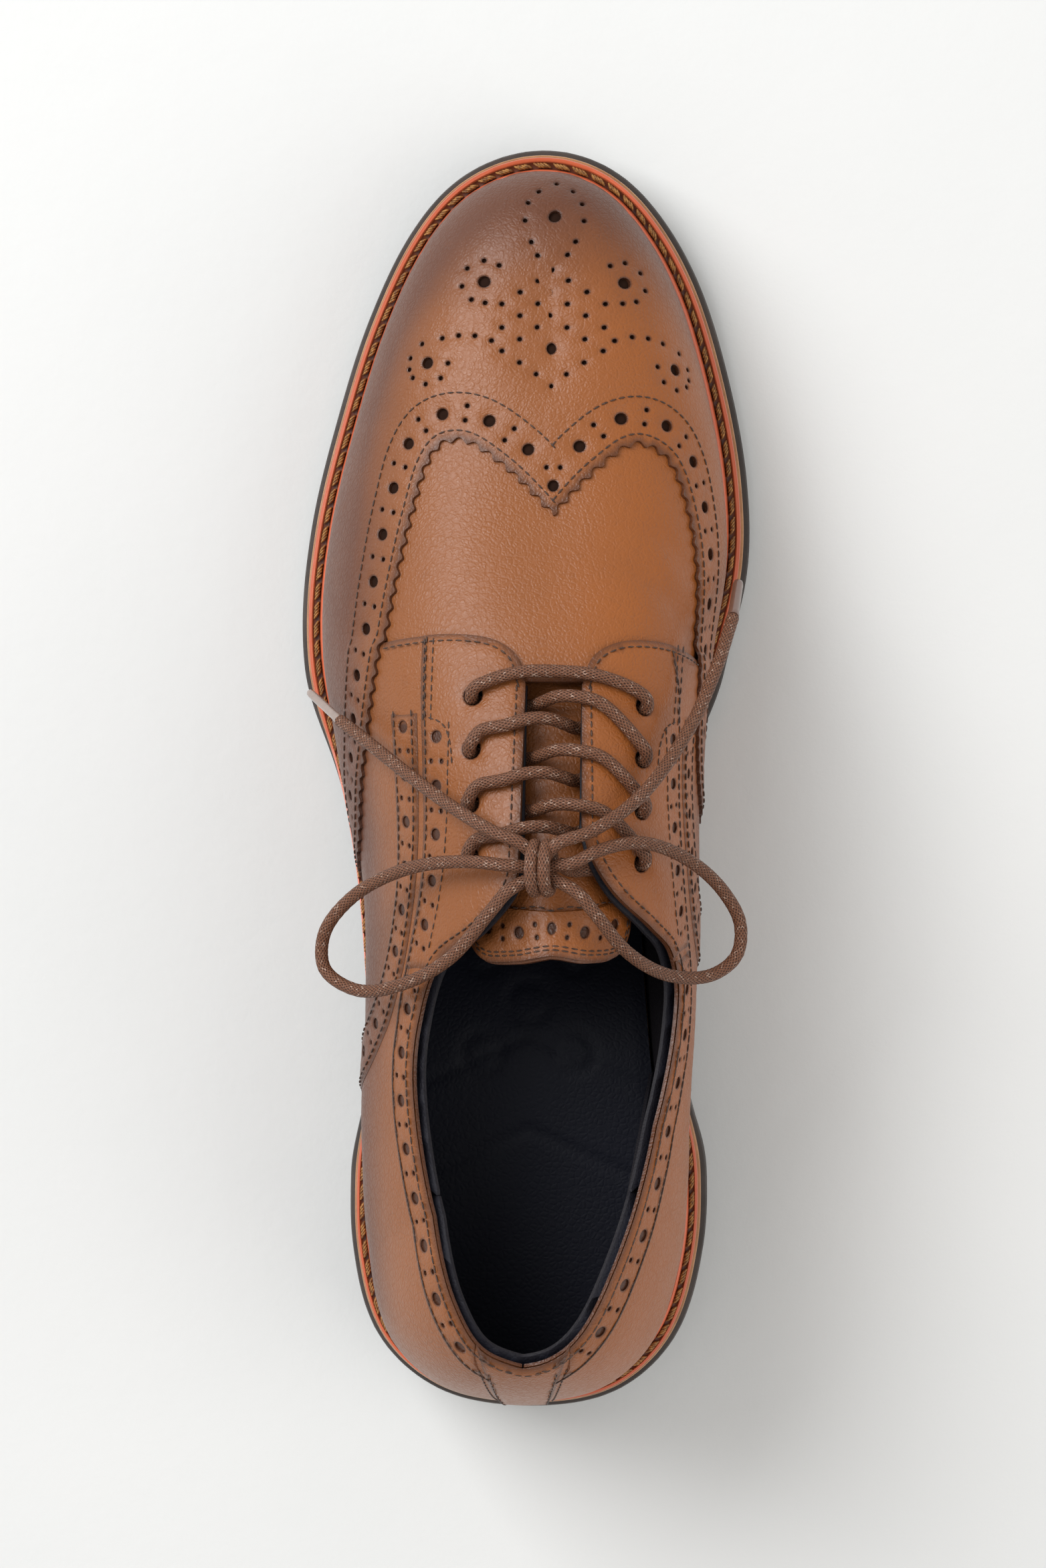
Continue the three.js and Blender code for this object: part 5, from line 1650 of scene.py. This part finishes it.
def trimmed(loop, limit_y):
    """The part of a loop behind limit_y, closed by a straight breast, with a steady number of points."""
    rear = behind(loop, limit_y)
    start = np.argmax(np.linalg.norm(np.roll(rear, 1, axis=0) - rear, axis=1))
    rear = np.roll(rear, -start, axis=0)
    back = resample(rear, lengths_of(rear)[-1] / 199)[:200]
    back[0, 1] = limit_y
    back[-1, 1] = limit_y
    breast = np.column_stack([np.linspace(back[-1, 0], back[0, 0], 42)[1:-1], np.full(40, limit_y)])
    return np.vstack([back, breast])


plate("midsole_leather", lambda inset: welt_loop(MIDSOLE_REACH - 0.35 + inset), MIDSOLE_LEVEL, MIDSOLE + 0.25,
      MIDSOLE_LEATHER, "midsole", ["midsole"], round_edge=0.45)
plate("outsole_rubber", lambda inset: welt_loop(MIDSOLE_REACH + OUTSOLE_REACH + inset), 0.0, OUTSOLE + 0.25,
      SOLE_RUBBER, "outsole", ["outsole"], round_edge=1.0)


def ground(y):
    return np.zeros_like(np.asarray(y, float))


for number in range(HEEL_LIFTS + 1):
    reach = MIDSOLE_REACH + OUTSOLE_REACH - HEEL_TAPER * (HEEL_LIFTS + 1 - number)
    if number == 0:
        plate("top_piece_rubber", lambda inset, reach=reach: welt_loop(reach + inset), 0.0, TOP_PIECE + 0.2,
              TOP_RUBBER, "top_piece", ["heel_top_piece"], round_edge=0.7, base=ground, limit_y=HEEL_BREAST)
    else:
        level = TOP_PIECE + SEAM_GAP + (number - 1) * (HEEL_LIFT + SEAM_GAP)
        plate(f"heel_lift_{number}_leather", lambda inset, reach=reach: welt_loop(reach + inset), level,
              HEEL_LIFT + 0.2, HEEL_STACK, "heel_lift", [f"heel_lift_{number}"], round_edge=0.35,
              base=ground, limit_y=HEEL_BREAST)


# ---------------------------------------------------------------- sock

def sock_shape(xy):
    """Height of the sock above its level: soft crown, heel hollow and an embossed pattern."""
    x, y = xy[:, 0], xy[:, 1]
    hollow = -0.5 * bell(np.hypot(x - 2, (y + 105) / 1.6), 0, 18)
    lines = np.zeros(len(xy))
    for centre in (-62, -84):
        lines -= 0.6 * bell(np.abs(x - 2) * 0.45 + (y - centre), 0, 0.9)
    for cx, cy in ((2, -30), (-9, -42), (13, -42), (2, -54), (-9, -66), (13, -66)):
        distance = np.hypot(x - cx, y - cy)
        lines -= 0.55 * bell(distance, 4.8, 0.75)
    return hollow + lines


def sock():
    outline = feather_loop(-0.1)
    cut = Cut(outline, limit=outline, spacing=1.6)
    low = sole_bottom(cut.xy[:, 1]) + SOCK_LEVEL
    crown = 0.5 * (1 - smoothstep(cut.to_edge, 0, 3.0))
    high = low + SOCK + sock_shape(cut.xy) - crown * 0.8
    points = np.vstack([np.column_stack([cut.xy, high]), np.column_stack([cut.xy, low])])
    thing = make_mesh("sock_liner_leather", points, solid_faces(cut), SOCK_LEATHER)
    finish_piece(thing, SHOE, "sock", "sock_liner")


sock()

# ---------------------------------------------------------------- lacing and knot

LACE_CLEARANCE = 0.6
LACE_OVER = OVERLAY_FACE + 0.35 + LACE_RADIUS
LACE_UNDER = -LACE_CLEARANCE - LACE_RADIUS
SWEEP = 4.4


def on_last(places):
    xy = np.array([(x, y) for x, y, _ in places])
    return last.wrap(xy, np.array([offset for _, _, offset in places]))


def dive(eyelet, gap):
    """Down into an eyelet from the toe side, then under the facing towards the gap."""
    return [(eyelet[0] + shift, eyelet[1] + ahead, offset) for shift, ahead, offset in (
        (gap * 2.9, 3.4, LACE_OVER), (gap * 1.0, 1.1, LACE_OVER - 0.15), (-gap * 0.3, -0.4, LACE_OVER - 1.9),
        (-gap * 0.4, -0.4, 1.4), (gap * 1.2, 0, LACE_UNDER - 0.1), (gap * SWEEP, 0, LACE_UNDER))]


def crossing(side, start_y, late):
    """From under one facing, level across the gap and over the other; the later strand lies behind."""
    half = FACING_GAP / 2
    return [(GAP_CENTRE + side * across, start_y - late - drop, offset) for across, drop, offset in (
        (half - 0.6, 0.2, LACE_UNDER), (2.8, 0.4, 0.6), (-0.9, 0.5, 4.2), (-half + 1.2, 1.1, LACE_OVER - 0.5),
        (-half - 3.4, 2.6, LACE_OVER))]


def strand(side):
    rows = {-1: eyelets(-1), 1: eyelets(1)}
    places = []
    for pair in range(EYELET_PAIRS):
        eyelet = rows[side][pair]
        down = dive(eyelet, -side)
        places += down[1:] if pair == 0 else down
        if pair == EYELET_PAIRS - 1:
            break
        places += crossing(side, eyelet[1], 0.0 if side < 0 else 3.3)
        side = -side
    half = FACING_GAP / 2
    for across, offset in ((half + 3.5, LACE_UNDER + 0.1), (half - 1, LACE_UNDER), (3.4, -0.2), (2.4, 4.4)):
        places.append((GAP_CENTRE + side * across, eyelet[1], offset))
    return places


first, second = eyelets(-1)[0], eyelets(1)[0]
bar = [(first[0] + (second[0] - first[0]) * s, first[1] + (second[1] - first[1]) * s + bow, LACE_OVER)
       for s, bow in ((0.1, 2.6), (0.28, 4.7), (0.5, 5.2), (0.72, 4.7), (0.9, 2.6))]
lacing_route = on_last(strand(-1)[::-1] + bar + strand(1))
finish_piece(lace("held_lacing", resample(centripetal(lacing_route), 0.6)), SHOE, "lace", "lacing")

KNOT = np.array([7.6, -19.0, 101.8])


def knot_strand(name, points, nodes=()):
    line = resample(centripetal(np.array(points, float) + KNOT), 0.5)
    return finish_piece(lace(name, line), SHOE, "lace", *nodes)


# Two turns side by side wrap the crossing of the loops and tails.
KNOT_TURN = [
    (1.2, 2.0, -4.4), (0.7, 4.7, -2.8), (0.1, 5.3, 0.2), (-0.3, 3.4, 2.9), (-0.5, 0.3, 3.7),
    (-0.4, -2.8, 3.0), (0.1, -4.9, 0.4), (0.6, -4.7, -2.6), (1.0, -2.4, -4.4),
]
for name, shift, nodes in (("knot_wrap_left", -1.45, ["knot"]), ("knot_wrap_right", 1.45, [])):
    knot_strand(name, [(x + shift, y, z) for x, y, z in KNOT_TURN], nodes)

# ---------------------------------------------------------------- hidden pieces kept from the frame

KEPT = {
    "insole_board": INSOLE_LEATHER, "foot_cushion": FOAM,
    "cork_filler": CORK, "shank": SPRING_STEEL,
}
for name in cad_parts:
    if name.startswith(("eyelet_", "heel_nail_")):
        KEPT[name] = BRASS
for name, material in KEPT.items():
    node = bpy.data.objects[name] if name in bpy.data.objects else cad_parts[name]
    for place in node.material_slots:
        place.material = material
    if not node.material_slots:
        node.data.materials.append(material)


# ---------------------------------------------------------------- floor and light

FLOOR_HALF = 4000.0


def floor():
    corners = [(-FLOOR_HALF, -FLOOR_HALF), (FLOOR_HALF, -FLOOR_HALF),
               (FLOOR_HALF, FLOOR_HALF), (-FLOOR_HALF, FLOOR_HALF)]
    thing = make_mesh("floor", [(x, y, -0.2) for x, y in corners], [[0, 1, 2, 3]], plaster_floor())


def soft_light(name, place, size, power, colour):
    data = bpy.data.lights.new(name, "AREA")
    data.shape = "RECTANGLE"
    data.size, data.size_y = size
    data.energy = power
    data.color = colour
    lamp = bpy.data.objects.new(name, data)
    lamp.location = place
    lamp.rotation_euler = (Vector((0, 0, 0.03)) - Vector(place)).to_track_quat("-Z", "Y").to_euler()
    bpy.context.scene.collection.objects.link(lamp)


floor()
soft_light("window", (-1.1, 0.9, 1.5), (1.3, 1.3), 36, (0.985, 0.99, 1.0))
soft_light("fill", (1.4, -0.5, 1.3), (1.6, 1.6), 11, (1.0, 0.97, 0.93))
world = bpy.data.worlds.new("soft_sky")
world.use_nodes = True
world.node_tree.nodes["Background"].inputs[0].default_value = (0.94, 0.94, 0.935, 1)
world.node_tree.nodes["Background"].inputs[1].default_value = 0.55
bpy.context.scene.world = world
bpy.context.scene.view_settings.view_transform = "Standard"
